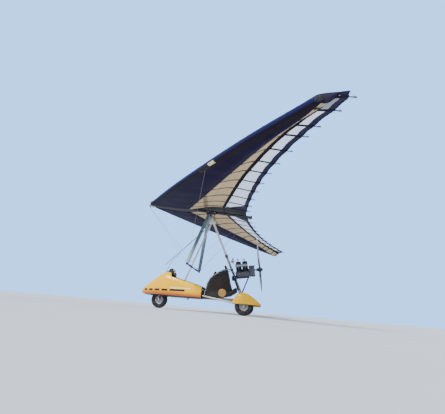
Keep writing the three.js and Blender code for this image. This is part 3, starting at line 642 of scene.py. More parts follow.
def seam(distance, width=0.0035):
    """Mask of one seam where the distance is near nought."""
    return 1 - distance.size().past(width, 0.002)


def lower_cloth(p):
    behind, y, _ = p.mark("sail").parts()
    aft, ahead_of_hem, rib = p.mark("zone").parts()
    navy_edge = aft - (y * 0.445 + 0.930)
    wander = p.noise(1.3, 4)
    cream = wander.past(0.5, 0.7).mix(rgb(222, 192, 142), rgb(196, 170, 130))
    cream = (y.past(3.2, 2.4) * 0.6).mix(cream, rgb(196, 170, 130))
    # Brown lines on the cream: painted shadows of the cross spar and of an upper wire, seen through the cloth.
    spar = (aft - (y * 0.1154 + 1.35)).size()
    rigging_shadow_gap = (aft - (y * 0.33 + 1.28)).size()
    shade = (1 - spar.past(0.045, 0.03)) * (1 - y.past(2.84, 0.05)) * 0.75
    shade = shade.either((1 - rigging_shadow_gap.past(0.012, 0.02)) * (1 - y.past(2.3, 0.4)) * 0.3)
    # Dark lines at each batten, strong on the cream and faint on the navy: painted shadows of the battens, seen through
    # the cloth.
    batten_shadow = 1 - rib.past(0.028, 0.006)
    cream = (batten_shadow * 0.97).mix(shade.mix(cream, rgb(128, 104, 82)), rgb(58, 46, 38))
    navy = p.noise(2.0, 4).past(0.5, 0.8).mix(rgb(31, 21, 54), NAVY_DEEP)
    navy = (batten_shadow * 0.6).mix(navy, rgb(24, 20, 38))
    # A greyer band over the leading edge tube: painted shade of the tube, seen through the cloth.
    navy = (1 - behind.past(0.13, 0.02)).mix(navy, rgb(32, 26, 34))
    navy = (1 - behind.past(0.012, 0.01)).mix(navy, EDGE_BLUE)
    cloth = (1 - navy_edge.past(0, 0.003)).mix(cream, navy)
    stitch = seam(navy_edge).either(seam(navy_edge - 0.022)).either(seam(behind - 0.11))
    cloth = (stitch * 0.55).mix(cloth, rgb(30, 26, 40))
    # A black band ends the lower skin: partly hem tape, partly painted shadow of the gap behind it.
    hem = 1 - ahead_of_hem.past(0.058, 0.003)
    return {"Base Color": hem.mix(cloth, HEM_BLACK), "Roughness": wander * 0.2 + 0.5, "Normal": weave(p)}


# %% [markdown]
# Behind the hem the single upper skin is nearly white, because the sky shines through it, with a navy
# band along the trailing edge and the battens' shadows painted dark in it. A little emission stands for that light.

# %% Cloth of the upper skin, the keel panel and the tapes
def upper_cloth(p):
    behind, y, before_end = p.mark("sail").parts()
    _, ahead_of_hem, rib = p.mark("zone").parts()
    single = 1 - ahead_of_hem.past(-0.002, 0.004)
    wander = p.noise(1.6, 4)
    white = wander.past(0.5, 0.8).mix(rgb(226, 233, 244), rgb(206, 216, 232))
    dust = p.noise(0.9, 5).past(0.55, 0.4) * (1 - single)
    white = (dust * 0.25).mix(white, rgb(168, 162, 150))
    edge_band = 1 - before_end.past(0.080, 0.003)
    front_band = (1 - behind.past(0.34, 0.003)).either(y.past(4.63, 0.003))
    corner = 1 - (before_end - (0.80 - y) * 0.88).past(0, 0.003)
    blue = p.noise(2.0, 4).past(0.5, 0.8).mix(rgb(31, 27, 56), NAVY_DEEP)
    blue = (1 - behind.past(0.022, 0.02)).mix(blue, EDGE_BLUE)
    pocket = 1 - rib.past(0.023, 0.003)
    panels = seam((before_end / 0.46).math("PINGPONG", before_end / 0.46, 0.5) - 0.25, 0.01)
    # Batten pockets drawn dark, much darker on the single skin: painted shadow of each batten in the light that shines
    # through.
    cloth = (pocket * (0.3 + single * 0.62)).mix(white, rgb(40, 38, 50))
    cloth = (panels * 0.25).mix(cloth, rgb(120, 122, 130))
    cloth = edge_band.either(front_band).either(corner).mix(cloth, blue)
    stitch = seam(rib - 0.014, 0.0015).either(seam(before_end - 0.087))
    glow = single * (1 - edge_band.either(corner)) * (1 - pocket)
    return {"Base Color": (stitch * 0.3).mix(cloth, rgb(60, 62, 74)), "Roughness": wander * 0.2 + 0.5,
            "Emission Color": glow.mix((0, 0, 0, 1), rgb(190, 204, 228)), "Normal": weave(p)}


def keel_cloth(p):
    y = p.mark("sail").parts()[1]
    wander = p.noise(2.2, 5)
    tone = wander.past(0.5, 0.7).mix(rgb(43, 40, 40), rgb(58, 54, 52))
    rows = seam(y - 0.036).either(seam(y - 0.044))
    return {"Base Color": (rows * 0.5).mix(tone, rgb(18, 17, 18)), "Roughness": wander * 0.2 + 0.55,
            "Normal": weave(p, 0.5)}


LOWER_CLOTH = finish("sail_cloth_lower", lower_cloth, "sail_cloth", Specular_IOR_Level=0.04)
UPPER_CLOTH = finish("sail_cloth_upper", upper_cloth, "sail_cloth", Specular_IOR_Level=0.18, Emission_Strength=0.6)
KEEL_CLOTH = finish("keel_panel_cloth", keel_cloth, "panel_cloth", Specular_IOR_Level=0.2)
CORD_WHITE = plain("batten_cord", "white_paint", lambda p: p.noise(160, 2).past(0.5, 0.5), rgb(206, 204, 198),
                   rgb(150, 146, 138), (30, 2, 0.2, 0.6), lambda p: p.bump(p.waves(900, "DIAGONAL"), 0.0003, 0.6))
HEM_CLOTH = plain("hem_tape", "sail_cloth", lambda p: p.noise(5, 4).past(0.5, 0.5), HEM_BLACK, rgb(44, 40, 42),
                  (9, 3, 0.2, 0.6), lambda p: p.bump(p.waves(300, "X") + p.waves(300, "Y"), 0.0002, 0.4),
                  Specular_IOR_Level=0.15)

# %% [markdown]
# Each skin is one piece, given a real thickness, with its flat size and area measured on the modelled skin.

# %% Both halves of the sail and the keel panel
CLOTH_THICKNESS = 0.0015
LOWER_PANEL_SHARE = 0.765


def cloth(name, points, marks, look, stands_for="", body="wing",
          rests_on=("leading_edge_left", "leading_edge_right", "keel_tube")):
    """A skin given a real thickness. Its area is half the length of each cell's crossed diagonals."""
    piece = put(name, skin(points), look, stands_for, body, sharp=60, marks=marks)
    modified(piece, "SOLIDIFY", thickness=CLOTH_THICKNESS, offset=0)
    crossed = np.cross(points[1:, 1:] - points[:-1, :-1], points[1:, :-1] - points[:-1, 1:])
    area = float(np.linalg.norm(crossed, axis=-1).sum() / 2)
    width, length = (float(np.linalg.norm(np.diff(points, axis=way), axis=-1).sum(way).max()) for way in (1, 0))
    list(rests_on)
    print(name, "flat", round(width, 2), "by", round(length, 2), "area", round(area, 2))


down = CHORDWISE[:, None]
for side, sign in SIDES:
    y = plan_grid(CHORDWISE)
    a = chord_point(y, down)
    cloth(f"sail_upper_{side}", wing(a, sign * y, upper_height(y, down)), sail_marks(y, a), UPPER_CLOTH, f"sail_{side}")
    y = plan_grid(CHORDWISE * fold_share(300))
    a = chord_point(y, down * fold_share(y))
    cloth(f"sail_lower_{side}", wing(a, sign * y, lower_height(y, down)), sail_marks(y, a), LOWER_CLOTH, f"sail_{side}")

for level, reach, height in (("upper", 1, upper_height), ("lower", LOWER_PANEL_SHARE, lower_height)):
    y = root_half(CHORDWISE[4:] * reach)[:, None] * np.linspace(-1, 1, 33)
    a = chord_point(y, down[4:] * reach)
    cloth(f"keel_panel_{level}", wing(a, y, height(y, down[4:])), sail_marks(y, a), KEEL_CLOTH, "sail_keel_panel")

# %% [markdown]
# What makes a sail look rigged is its edges: the wall of cloth that closes the tip, the hem that ends the
# lower skin, the cord sewn into the trailing edge, and the battens that end in plastic caps and are held
# by a loop of cord.

# %% Tip walls, hems, battens and their cords
def eave(y):
    """Points along the upper skin's rear edge."""
    return wing(rear_edge(y), y, upper_height(y, 1.0, ridge=0) - SKIN / 2)


for side, sign in SIDES:
    share, fold, layers = np.linspace(0, 1, 26), fold_share(HALF_SPAN), np.linspace(0, 1, 7)[:, None]
    top = upper_height(HALF_SPAN, share)
    low = np.where(share < fold, lower_height(HALF_SPAN, np.clip(share / fold, 0, 1)), top - 3)
    belly = 9 * np.sin(math.pi * layers) * np.sin(math.pi * share) ** 0.5
    a = chord_point(HALF_SPAN, share) + 0 * layers
    cloth(f"sail_tip_{side}", wing(a, sign * (HALF_SPAN + belly), top + (low - top) * layers),
          sail_marks(HALF_SPAN, a), UPPER_CLOTH, f"sail_{side}")
    y = sign * np.linspace(280, HALF_SPAN - 4, 160)
    hem = wing(eased(UNDERSKIN_ROWS, np.abs(y)), y, lower_height(y, 1.0) - 2)
    put(f"sail_hems_{side}", [swept(hem, 5.5, 8), swept(eave(y), 4, 8)], HEM_CLOTH, body="wing")
    rods, caps, loops = [], [], []
    for y in BATTENS:
        share = np.linspace(fold_share(y) - 0.02, 1, 14)
        run = wing(chord_point(y, share), sign * y, upper_height(y, share, ridge=0) - 6.5)
        end = wing(rear_edge(y) + BATTEN_OUT - 22, sign * y, upper_height(y, 1.0, ridge=0) - SKIN / 2)
        tip = end - 0.022 * FORWARD
        ties = eave(np.clip(sign * y + np.array([-62, 62]), 10 - HALF_SPAN, HALF_SPAN - 10))
        rods.append(swept(np.vstack([run, end]), 5.8, 10))
        caps.append(rod(end + 0.012 * FORWARD, tip, 7.8, 12, 0.4))
        loops.append(swept(smooth_path([ties[0], tip + 0.006 * FORWARD, ties[1]], 9), 2.2, 6))
    put(f"battens_{side}", rods, HEM_CLOTH, body="wing")
    put(f"batten_caps_{side}", caps, BLACK_PLASTIC, body="wing")
    put(f"batten_cords_{side}", loops, CORD_WHITE, body="wing")
print("sail pieces made")

# %% [markdown]
# ## The wing's frame
# Under the cloth the wing is a triangle of aluminium tubes: a keel, two leading edges and a cross spar. Of
# these only the keel, the nose and the tips come out into the open. The kingpost stands above, in a boot
# of cloth. Two black patches cover the ends of the spar, and a pale one mends the port leading edge.

# %% Keel, nose plates, leading edge ends and kingpost
KEEL_END, POST_TOP = 2430, 1050
APEX_A, APEX_Z = 1435, -76
JUNCTION_A, JUNCTION_Y = 1735, 2860
NOSE_OUTLINE = [(0, -22), (0, 22), (-60, 66), (-150, 66), (-150, -66), (-60, -66)]


def bolt(at, axis, radius, length, head=0.8):
    """Hexagon head, washer, shank and nut on one line through a point."""
    axis = unit(np.asarray(axis, float)) / 1000
    parts = [rod(at - axis * length / 2, at + axis * length / 2, radius, 10)]
    for out in (-axis, axis):
        end = at + out * length / 2
        parts.append(rod(end - out * radius * 0.5, end + out * radius * 0.1, radius * 2.3, 16))
        parts.append(rod(end, end + out * radius * 1.7 * head, radius * 1.9, 6, 0.2))
    return joined(*parts)


def bolts(name, rows, stands_for="", body="trike"):
    """One piece made of bolts, from rows of point, axis, radius and length."""
    put(name, [bolt(*row) for row in rows], BOLT_STEEL, stands_for, body)


def spar(y):
    """Centre line of a leading edge tube, which runs straight on past the tip."""
    past = np.maximum(np.abs(y) - HALF_SPAN, 0)
    return wing(front_edge(np.abs(y) - past) + past * 0.68 + 50, y, 0)


def patch(name, sign, middle, reach, behind, drop, look):
    """Cloth on the lower skin: reach to each side of a place on the span, and behind the front edge."""
    y = middle + reach[:, None]
    cloth(name, wing(front_edge(y) + behind, sign * y, lower_height(y, behind / under_depth(y)) - drop), None, look)


put("keel", rod(wing(40, 0, 0), wing(KEEL_END - 46, 0, 0), 30, 40, 0.06), DARK_ALLOY, "keel_tube", "wing")
put("keel_end_plug", turned([(0, -4), (22, -4), (35, 0), (39, 6), (39, 34), (34, 43), (20, 48), (0, 49)],
                            wing(KEEL_END - 49, 0, 0), -FORWARD, 40), BLACK_PLASTIC, "keel_tube", "wing", "dark_alloy")
plates = [slab(NOSE_OUTLINE, low, low + 6, lambda x, y, z: wing(-x, z, y)) for low in (44, -50)]
put("nose_plates", plates + [soft_block((2, -14, -74), (26, 14, 74), wing, 8)], ALLOY, "nose_plate", "wing", bevel=1.5)
bolts("nose_bolts", [(wing(a, y, 0), UPWARD, 5, 108) for a, y in ((30, 0), (96, 40), (96, -40), (130, 0))], "", "wing")
REPAIR_TAPE = plain("repair_tape", "sail_cloth", lambda p: p.noise(6).past(0.5, 0.6), rgb(240, 226, 170),
                    rgb(226, 206, 140), (8, 3, 0.2, 0.45), weave)
for side, sign in SIDES:
    plug = spar(sign * (HALF_SPAN + np.array([-40, 30, 38, 43])))
    put(f"tip_plug_{side}", swept(plug, [29, 29.5, 27, 18], 32), BLACK_PLASTIC, "", "wing", "alloy")
    edge = spar(sign * np.linspace(60, HALF_SPAN + 28, 60))
    put(f"leading_edge_tube_{side}", swept(edge, 27, 32), ALLOY, f"leading_edge_{side}", "wing")
    patch(f"junction_patch_{side}", sign, JUNCTION_Y, np.linspace(-150, 150, 13), np.linspace(2, 78, 9), 3, HEM_CLOTH)
    if side == "left":
        patch("edge_repair_patch", sign, 3110, np.linspace(-88, 88, 9), np.linspace(1, 48, 9), 3.2, REPAIR_TAPE)
for part, rows, z, look, node, slot in (
        ("tube", [(0, 0), (17, 0), (17, 985), (0, 985)], 30, ALLOY, "kingpost", None),
        ("cap", [(0, 0), (24, 2), (24, 20), (21, 30), (12, 34), (0, 34.5)], POST_TOP - 34, BLACK_PLASTIC, "kingpost",
         "alloy"),
        ("boot", [(16.5, 85), (19, 86), (26, 70), (34, 30), (52, 0), (55, -10), (50, -10), (47, 0), (30, 30),
                  (22, 70)], upper_height(0, 0.628) - 4, HEM_CLOTH, "", "panel_cloth")):
    post = turned(rows, wing(APEX_A, 0, z), UPWARD, 36 if part == "boot" else 32)
    put(f"kingpost_{part}", post, look, node, "wing", slot)

# %% [markdown]
# Below the keel hangs the control frame: two streamlined downtubes and the base bar, with foam grips. The
# downtube's section is an ellipse drawn out at its trailing edge.

# %% Control frame
CORNER_A, CORNER_Y, CORNER_Z = 1300, 800, -1325
corner_blocks, bar_bolts, grips = [], [], []
bar = rod(wing(CORNER_A, -CORNER_Y, CORNER_Z), wing(CORNER_A, CORNER_Y, CORNER_Z), 14.5, 32)
put("control_bar", bar, DARK_ALLOY, "base_bar", "wing")
for side, sign in SIDES:
    high, low = wing(APEX_A, sign * 35, APEX_Z), wing(CORNER_A, sign * (CORNER_Y - 6), CORNER_Z + 25)
    turn, share = angles(40)[:, None], np.linspace(0, 1, 9)[:, None, None]
    section = ((38 * np.cos(turn) - 4 * np.sin(turn) ** 2) * FORWARD
               + 14 * np.sin(turn) * (1 + 0.25 * np.cos(turn)) * PORT) / 1000
    put(f"downtube_{side}_fairing", lofted(high + share * (low - high) + section), GREY_BLUE,
        f"downtube_{side}", "wing")
    y, inner = sign * CORNER_Y, sign * 34
    corner_blocks += [soft_block((CORNER_A - 24, y - 22, CORNER_Z - 20), (CORNER_A + 24, y + 22, CORNER_Z + 30),
                                 wing, 7),
                      soft_block((APEX_A - 46, inner - 20, APEX_Z - 18), (APEX_A + 46, inner + 20, APEX_Z + 34), wing)]
    bar_bolts += [(wing(CORNER_A, y, CORNER_Z + 18), PORT, 4, 50), (wing(CORNER_A, y, CORNER_Z), FORWARD, 4, 54),
                  (wing(APEX_A + 20, inner, APEX_Z - 2), PORT, 5, 50)]
    along = np.linspace(150, 560, 60)
    ribbed = 18.5 + 0.9 * np.sign(np.sin(along / 9))
    grips.append(swept(wing(CORNER_A, sign * along, CORNER_Z), ribbed, 28))
put("frame_corners", corner_blocks, DARK_ALLOY, "base_bar", "wing")
bolts("frame_bolts", bar_bolts, "", "wing")
put("bar_grips", grips, GRIP_FOAM, "", "wing")

# %% [markdown]
# The bracket under the keel holds the roll pin; the hang block below it turns on that pin and, lower
# down, on the mast's own bolt. A strap goes round the keel as a second way to hang.

# %% Hang bracket, hang block and their pins
bracket = [soft_block((APEX_A - 60, -36, -52), (HANG_AFT + 60, 36, 36), wing, 9, 20, 60),
           soft_block((APEX_A - 46, -52, -74), (APEX_A + 42, 52, -40), wing, 9, 16, 48)]
bracket += [soft_block((a, -25, -ROLL_DROP - 20), (a + 8, 25, -45), wing, 8) for a in (HANG_AFT - 41, HANG_AFT + 33)]
put("hang_bracket", bracket, DARK_ALLOY, "keel_bracket", "wing")
bolts("hang_bracket_pins", [(wing(HANG_AFT, 0, -ROLL_DROP), FORWARD, 6, 96), (wing(APEX_A - 28, 0, -6), PORT, 5, 82),
                            (wing(HANG_AFT + 40, 0, -6), PORT, 5, 82)], "keel_bracket", "wing")
block = soft_block((HANG_AFT - 30, -16, -190), (HANG_AFT + 30, 16, -86), wing, 7, 18, 40)
put("universal_block", block, ALLOY, "hang_block", "hang_block")
turn = np.linspace(-0.5, 1.5, 30) * math.pi
strap = swept(wing(HANG_AFT + 80, 33 * np.cos(turn), 33 * np.sin(turn)), 2.8, 12, 5.0)
put("backup_strap", strap, HEM_CLOTH, "", "wing", "black_plastic")

# %% [markdown]
# Steel wires brace it all; each ends in a loop round a thimble, closed by a pressed copper sleeve. Thin
# reflex lines from the kingpost hold the trailing edge up.

# %% Wires with their thimbles, and the reflex lines
COPPER = metal("copper_sleeve", rgb(176, 112, 78), "wire_steel", rough=0.38, streak=(3, 3, 3))


def rig(name, spans, stands_for="", radius=2.0, loops=(1, 1)):
    """Several wires as one piece, and their copper sleeves as another. loops says which ends have one:
    its ring is a circle drawn out towards the wire."""
    strands, sleeves = [], []
    for a, b in spans:
        step = unit(b - a)
        beside = unit(np.cross(step, [0.3, 0.2, 1.0])) * 0.008
        strands.append(rod(a + step * 0.03 * loops[0], b - step * 0.03 * loops[1], radius, 10))
        for at, way, wanted in ((a, step, loops[0]), (b, -step, loops[1])):
            if wanted:
                t = angles(17, True)[:, None]
                drop = at + way * (0.012 - 0.013 * np.cos(t)) + beside * np.sin(t) * (1 - 0.3 * np.cos(t))
                strands.append(swept(drop, radius * 1.1, 8))
                sleeves.append(rod(at + way * 0.026, at + way * 0.050, radius * 2.4, 12, 0.3, 0.7))
    put(name, strands, WIRE_STEEL, stands_for, "wing")
    put(f"{name}_sleeves", sleeves, COPPER, "", "wing")


TOP = wing(APEX_A, 0, POST_TOP - 16)
REAR_STAY = KEEL_END - 22
for side, sign in SIDES:
    foot, outer = wing(CORNER_A, sign * CORNER_Y, CORNER_Z + 4), sign * JUNCTION_Y
    rig(f"lower_wires_{side}", [(foot, wing(14, sign * 4, -64)), (foot, wing(JUNCTION_A, outer, -10)),
                                (foot, wing(REAR_STAY, sign * 14, -14))],
        " ".join(f"stay_lower_{where}_{side}" for where in ("front", "side", "rear")))
    rig(f"upper_wire_{side}", [(TOP, wing(JUNCTION_A, outer, 10))], f"stay_upper_{side}")
    rig(f"reflex_lines_{side}", [(TOP, wing(rear_edge(b) - 30, sign * b, upper_height(b, 0.985) + 2))
                                 for b in BATTENS[[1, 3, 5]]], radius=1.1, loops=(0, 1))
rig("upper_wires_keel", [(TOP, wing(14, 0, 64)), (TOP, wing(REAR_STAY, 0, 10))], "stay_upper_front stay_upper_rear")
print("wing frame made")

# %% [markdown]
# ## The pod
# The pod is a glass-fibre shell. Its section is a superellipse: a circle whose sine and cosine are raised
# to a power, so one number takes it from round at the nose to boxy at the seats. Half width, underside,
# top and that number are eased along the pod, as a loft would do. The grid's columns start at the rim of
# the cockpit and go round underneath to the other rim, so the opening needs no cut; only the arch over
# the nose wheel is cut out, with a rounded tool.

# %% Pod section and cockpit rim
POD_ROWS = [(2286, 14, 318, 346, 2.0), (2262, 52, 288, 396, 2.1), (2164, 126, 263, 486, 2.3),
            (1995, 204, 252, 631, 2.5), (1768, 272, 249, 784, 2.7), (1560, 294, 248, 748, 3.0),
            (1330, 300, 249, 672, 3.4), (1100, 300, 252, 596, 3.8), (930, 288, 258, 548, 3.8)]
COCKPIT_FRONT, COWL_START, RIM_INSET = 1640, 1590, 34
WHEELBASE, HALF_TRACK, WHEEL_RADIUS = 1875, 810, 178


def pod_grid(x, turns, inset=0):
    """Points of the shell: x along it, turns from 0 at the port rim to 1 at the starboard rim. The rim
    lies just inside the pod's side, then is drawn in to the cowl; ahead of it the shell is closed."""
    half, low, high, power = (eased(POD_ROWS, x, column) for column in (1, 2, 3, 4))
    beside = half - RIM_INSET
    rim = beside + (130 - beside) * np.clip((x - COWL_START) / (COCKPIT_FRONT - COWL_START), 0, 1) ** 2
    rim = np.where(x > COCKPIT_FRONT, 0, rim)
    start = np.arccos(np.clip(rim / half, 0, 1) ** (power / 2))
    angle = start - turns * (math.pi + 2 * start)
    return (x, (half - inset) * swell(np.cos(angle), power),
            (low + high) / 2 + ((high - low) / 2 - inset) * swell(np.sin(angle), power))


def baked(piece, kind, **settings):
    """Applies a modifier to a piece's mesh."""
    modified(piece, kind, **settings)
    piece.data = bpy.data.meshes.new_from_object(piece.evaluated_get(bpy.context.evaluated_depsgraph_get()))
    piece.modifiers.clear()


def carve(piece, shape):
    """Takes a shape out of a piece with an exact boolean, then throws the tool away with its mesh."""
    tool = added("tool", mesh_of("tool", shape))
    baked(piece, "BOOLEAN", operation="DIFFERENCE", object=tool, solver="EXACT")
    bpy.data.meshes.remove(tool.data)
    shaded(piece, 38)


# %% [markdown]
# The pod's paint is deep yellow, with a row of dark dashes and a long stripe along the side. It turns
# orange low on the side, which is painted shade, and near black underneath, which is a dark belly and
# painted shade together. Gel coat is glossy and very slightly wavy; dust gathers low down and behind the nose wheel.

# %% Gel coat
DASHES = ((2.137, 2.206), (2.0, 2.091), (1.84, 1.954), (1.658, 1.795), (1.281, 1.612))
STRIPE_Z = 0.402


def gel_coat(marked, spatter=0.35):
    def recipe(p):
        x, y, z = p.place().parts()
        wander = p.noise(2.6, 4)
        paint = wander.past(0.5, 0.8).mix(rgb(255, 206, 8), rgb(255, 186, 6))
        if marked:
            # Orange low on the side: painted shade where the side turns under, away from the light.
            low = 1 - z.past(0.352, 0.09)
            paint = (low * 0.9).mix(paint, rgb(236, 108, 12))
            forward = -AXLE_X + x
            height = z - (forward - 1.3) * -0.035
            on_side = y.size().past(0.05, 0.004)
            dash = sum((forward.between(*ends, 0.004) for ends in DASHES[1:]), forward.between(*DASHES[0], 0.004))
            dash = dash * height.between(STRIPE_Z - 0.021, STRIPE_Z + 0.021, 0.003) * on_side
            white = forward.between(1.17, 1.60, 0.004) * height.between(STRIPE_Z + 0.034, STRIPE_Z + 0.052, 0.003)
            # Near black below 288 mm: a dark belly and painted shade under the pod together.
            belly = 1 - z.past(0.288, 0.010)
            paint = dash.mix(paint, rgb(30, 26, 26))
            paint = (white * on_side).mix(paint, rgb(244, 240, 232))
            paint = belly.mix(paint, rgb(40, 36, 34))
        grime = p.noise(5, 6).past(0.56, 0.3) * (1 - z.past(0.32, 0.25)) * spatter
        flecks = p.noise(170, 1).past(0.71, 0.02) * p.noise(6, 2).past(0.5, 0.2)
        return {"Base Color": (flecks * 0.5).mix(grime.mix(paint, rgb(116, 96, 74)), rgb(120, 90, 50)),
                "Roughness": wander * 0.1 + grime * 0.4 + 0.18,
                "Normal": p.bump(p.noise(5, 2), 0.0015, 0.25, p.bump(p.noise(260, 2), 0.0001, 0.2))}
    return recipe


GEL = {"Coat_Weight": 0.22, "Coat_Roughness": 0.1, "Specular_IOR_Level": 0.28}
POD_PAINT = finish("pod_gel_coat", gel_coat(True), "pod_yellow", **GEL)
SPAT_PAINT = finish("spat_gel_coat", gel_coat(False, 0.3), "pod_yellow", **GEL)
LINING = plain("pod_lining", "black_plastic", lambda p: p.noise(6, 4).past(0.5, 0.6), rgb(52, 50, 50), rgb(74, 71, 68),
               (9, 3, 0.1, 0.85), lambda p: p.bump(p.cells(340), 0.001, 0.6), Sheen_Weight=0.4)

# %% [markdown]
# The shell and its lining are walls of real thickness. The shell has a moulded line pressed in along each
# side, a bell curve of the distance from that line, and rubber trims cover both cut edges.

# %% Shell, lining, rim trim and the moulded line along the side
ARCH_POWER = 3.2
RIM_STATIONS = [COCKPIT_FRONT, COCKPIT_FRONT + 0.5]


def arch(grow, turn):
    """Rounded oblong round the nose wheel, seen from above."""
    return WHEELBASE + (188 + grow) * swell(np.cos(turn), ARCH_POWER), (112 + grow) * swell(np.sin(turn), ARCH_POWER)


def cut_arch(piece, grow, top):
    carve(piece, lofted(np.stack([trike(*arch(grow, angles(48)), z) for z in (200, top)])))


stations = np.r_[np.linspace(930, 2240, 84), np.linspace(2240, 2284, 16), COWL_START, 1620, RIM_STATIONS]
x, y, z = pod_grid(np.unique(stations)[:, None], np.linspace(0, 1, 97))
line = np.exp(-((z - 500 + 0.05 * (2286 - x)) / 9) ** 2) * (np.abs(y) > 60) * np.clip((2230 - x) / 120, 0, 1)
walls = np.vstack([trike(x, y - 3.5 * np.sign(y) * line, z), trike(2286, np.zeros((1, 97)), 332)])
shell = put("pod_skin", skin(walls), POD_PAINT, "pod_shell", sharp=50)
baked(shell, "SOLIDIFY", thickness=0.005, offset=-1)
cut_arch(shell, 0, 392)
stations = np.unique(np.r_[np.linspace(936, 2150, 50), RIM_STATIONS])[:, None]
lining = put("pod_lining", skin(trike(*pod_grid(stations, np.linspace(0.004, 0.996, 65), 12))), LINING, sharp=50)
baked(lining, "SOLIDIFY", thickness=0.002, offset=1)
cut_arch(lining, -2, 420)
x = np.r_[np.linspace(932, 1580, 30), np.linspace(COWL_START, COCKPIT_FRONT, 12)]
port, starboard = (columns(*pod_grid(x, end)) for end in (0, 1))
front = columns(COCKPIT_FRONT, np.linspace(120, -120, 12), pod_grid(COCKPIT_FRONT, 0)[2])
rim = np.vstack([port, front, starboard[::-1]]) + [0, 0, 1]
put("cockpit_trim", swept(spots(trike, rim), 7.5, 12), BLACK_RUBBER)
x, y = arch(5, angles(72, True))
half, low, high, power = (eased(POD_ROWS, x, column) for column in (1, 2, 3, 4))
z = (low + high) / 2 - (high - low) / 2 * (1 - np.clip(np.abs(y) / half, 0, 0.98) ** power) ** (1 / power)
put("wheel_arch_lip", swept(trike(x, y, z + 3), 5.2, 10), BLACK_RUBBER)
print("pod made:", len(shell.data.polygons), "faces")

# %% [markdown]
# The instrument cowl is a moulded block with a flat panel that faces the front seat; its dials have
# nothing on them. A black moulding under the seats covers the beam, with flanks and a round drum.

# %% Instrument cowl with blank dials, and the mouldings under the seats
PANEL_TOP, PANEL_END = np.array([[1640, 866], [1575, 742]])
DRUM_AT = trike(490, 252, 420)
put("cowl", slab([(1765, 745), (1690, 850), PANEL_TOP, PANEL_END, (1600, 700)], -128, 128, trike), BLACK_PLASTIC,
    "instrument_cowl", bevel=12)
down = unit(PANEL_END - PANEL_TOP)
rings, faces = [], []
for row, y, r in ((44, 72, 30), (44, 0, 30), (44, -72, 30), (100, 84, 18), (100, 40, 18), (100, -40, 18),
                  (100, -84, 18)):
    x, z = PANEL_TOP + down * row
    seen = (trike(x, y, z), (down[1], 0, -down[0]), 36)
    rings.append(turned([(r * 0.86, 0.5), (r * 0.86, 4), (r, 5), (r * 1.06, 2), (r * 1.06, -4), (r * 0.86, -4)], *seen))
    faces.append(turned([(0, -1), (r * 0.88, -1), (r * 0.88, 1.5), (0, 2.2)], *seen))
put("dial_rings", rings, BOLT_STEEL, slot="black_plastic")
DIAL_FACE = plain("dial_face", "black_plastic", lambda p: p.noise(40, 2).past(0.6, 0.2), rgb(14, 15, 17),
                  rgb(28, 30, 33), (30, 2, 0.1, 0.08), Coat_Weight=1.0)
put("dial_faces", faces, DIAL_FACE)
put("seat_moulding", slab([(1060, 290), (1060, 352), (790, 366), (700, 440), (420, 466), (330, 474), (205, 560),
                           (190, 470), (330, 372), (620, 300), (900, 276)], -194, 194, trike),
    BLACK_PLASTIC, "rear_body", bevel=16)
for side, sign in SIDES:
    flank = slab([(920, 292), (920, 346), (790, 362), (704, 430), (420, 458), (330, 466), (222, 545), (205, 474),
                  (336, 380), (624, 308), (898, 284)], *sorted((sign * 180, sign * 228)), trike)
    put(f"flank_{side}", flank, BLACK_PLASTIC, "rear_body", bevel=14)
GOLD_TAN = metal("gold_disc", rgb(206, 160, 96), "black_plastic", rough=0.4, streak=(6, 6, 6), metallic=0.45)
put("side_drum", [turned([(0, 0), (78, 0), (85, -6), (85, -75), (0, -75)], DRUM_AT, PORT, 56),
                  turned([(58, 0.5), (66, 4.2), (74, 0.5), (74, -4), (58, -4)], DRUM_AT, PORT, 56),
                  turned([(0, 6), (16, 5), (20, 0.5), (20, -3), (0, -3)], DRUM_AT, PORT, 40)], GOLD_TAN, "rear_body")
turn = angles(33, True)
put("tie_down_eye", [swept(trike(1250 + 15 * np.cos(turn), 0, 232 + 15 * np.sin(turn)), 4.5, 12),
                     soft_block((1216, -22, 244), (1284, 22, 256), trike, 5, 12, 36)], DARK_ALLOY)
print("cowl and mouldings made")

# %% [markdown]
# ## Seats
# Each seat is one long pad that bends from the base up into the back. Its section is a crowned superellipse
# carried along the bend; the pad thins at its rounded ends, sinks where it is sewn through, and its edge
# carries a piped seam.

# %% Seat cloth, webbing and the form of a pad
STATIONS = 110
CHANNEL_HALF = 0.006


def seat_cloth(p):
    across = p.mark("seat").parts()[1].size()
    flat_cut = p.node("Mapping", {0: p.mark("seat"), 3: (1.05, 0.19, 1)})
    threads = p.waves(300, "X", flat_cut) * p.waves(300, "Y", flat_cut)
    wear = p.noise(7, 4).past(0.52, 0.3)
    tone = (across.between(0.30, 0.36, 0.01) * 0.6).mix(wear.mix(rgb(36, 36, 42), rgb(58, 57, 64)), rgb(86, 84, 92))
    tone = (across - 0.86).size().past(0.012, 0.006).mix(rgb(120, 118, 124), tone)
    return {"Base Color": tone, "Roughness": wear * 0.08 + 0.82,
            "Normal": p.bump(threads, 0.0006, 0.6, p.bump(p.noise(16, 4), 0.004, 0.35))}


SEAT_CLOTH = finish("seat_cloth", seat_cloth, Sheen_Weight=0.35)
WEBBING = plain("belt_webbing", "seat_cloth", lambda p: p.noise(20, 3), rgb(48, 50, 58), rgb(70, 72, 82),
                (11, 3, 0.1, 0.75), lambda p: p.bump(p.waves(260, "DIAGONAL"), 0.0006, 0.7), Sheen_Weight=0.3)


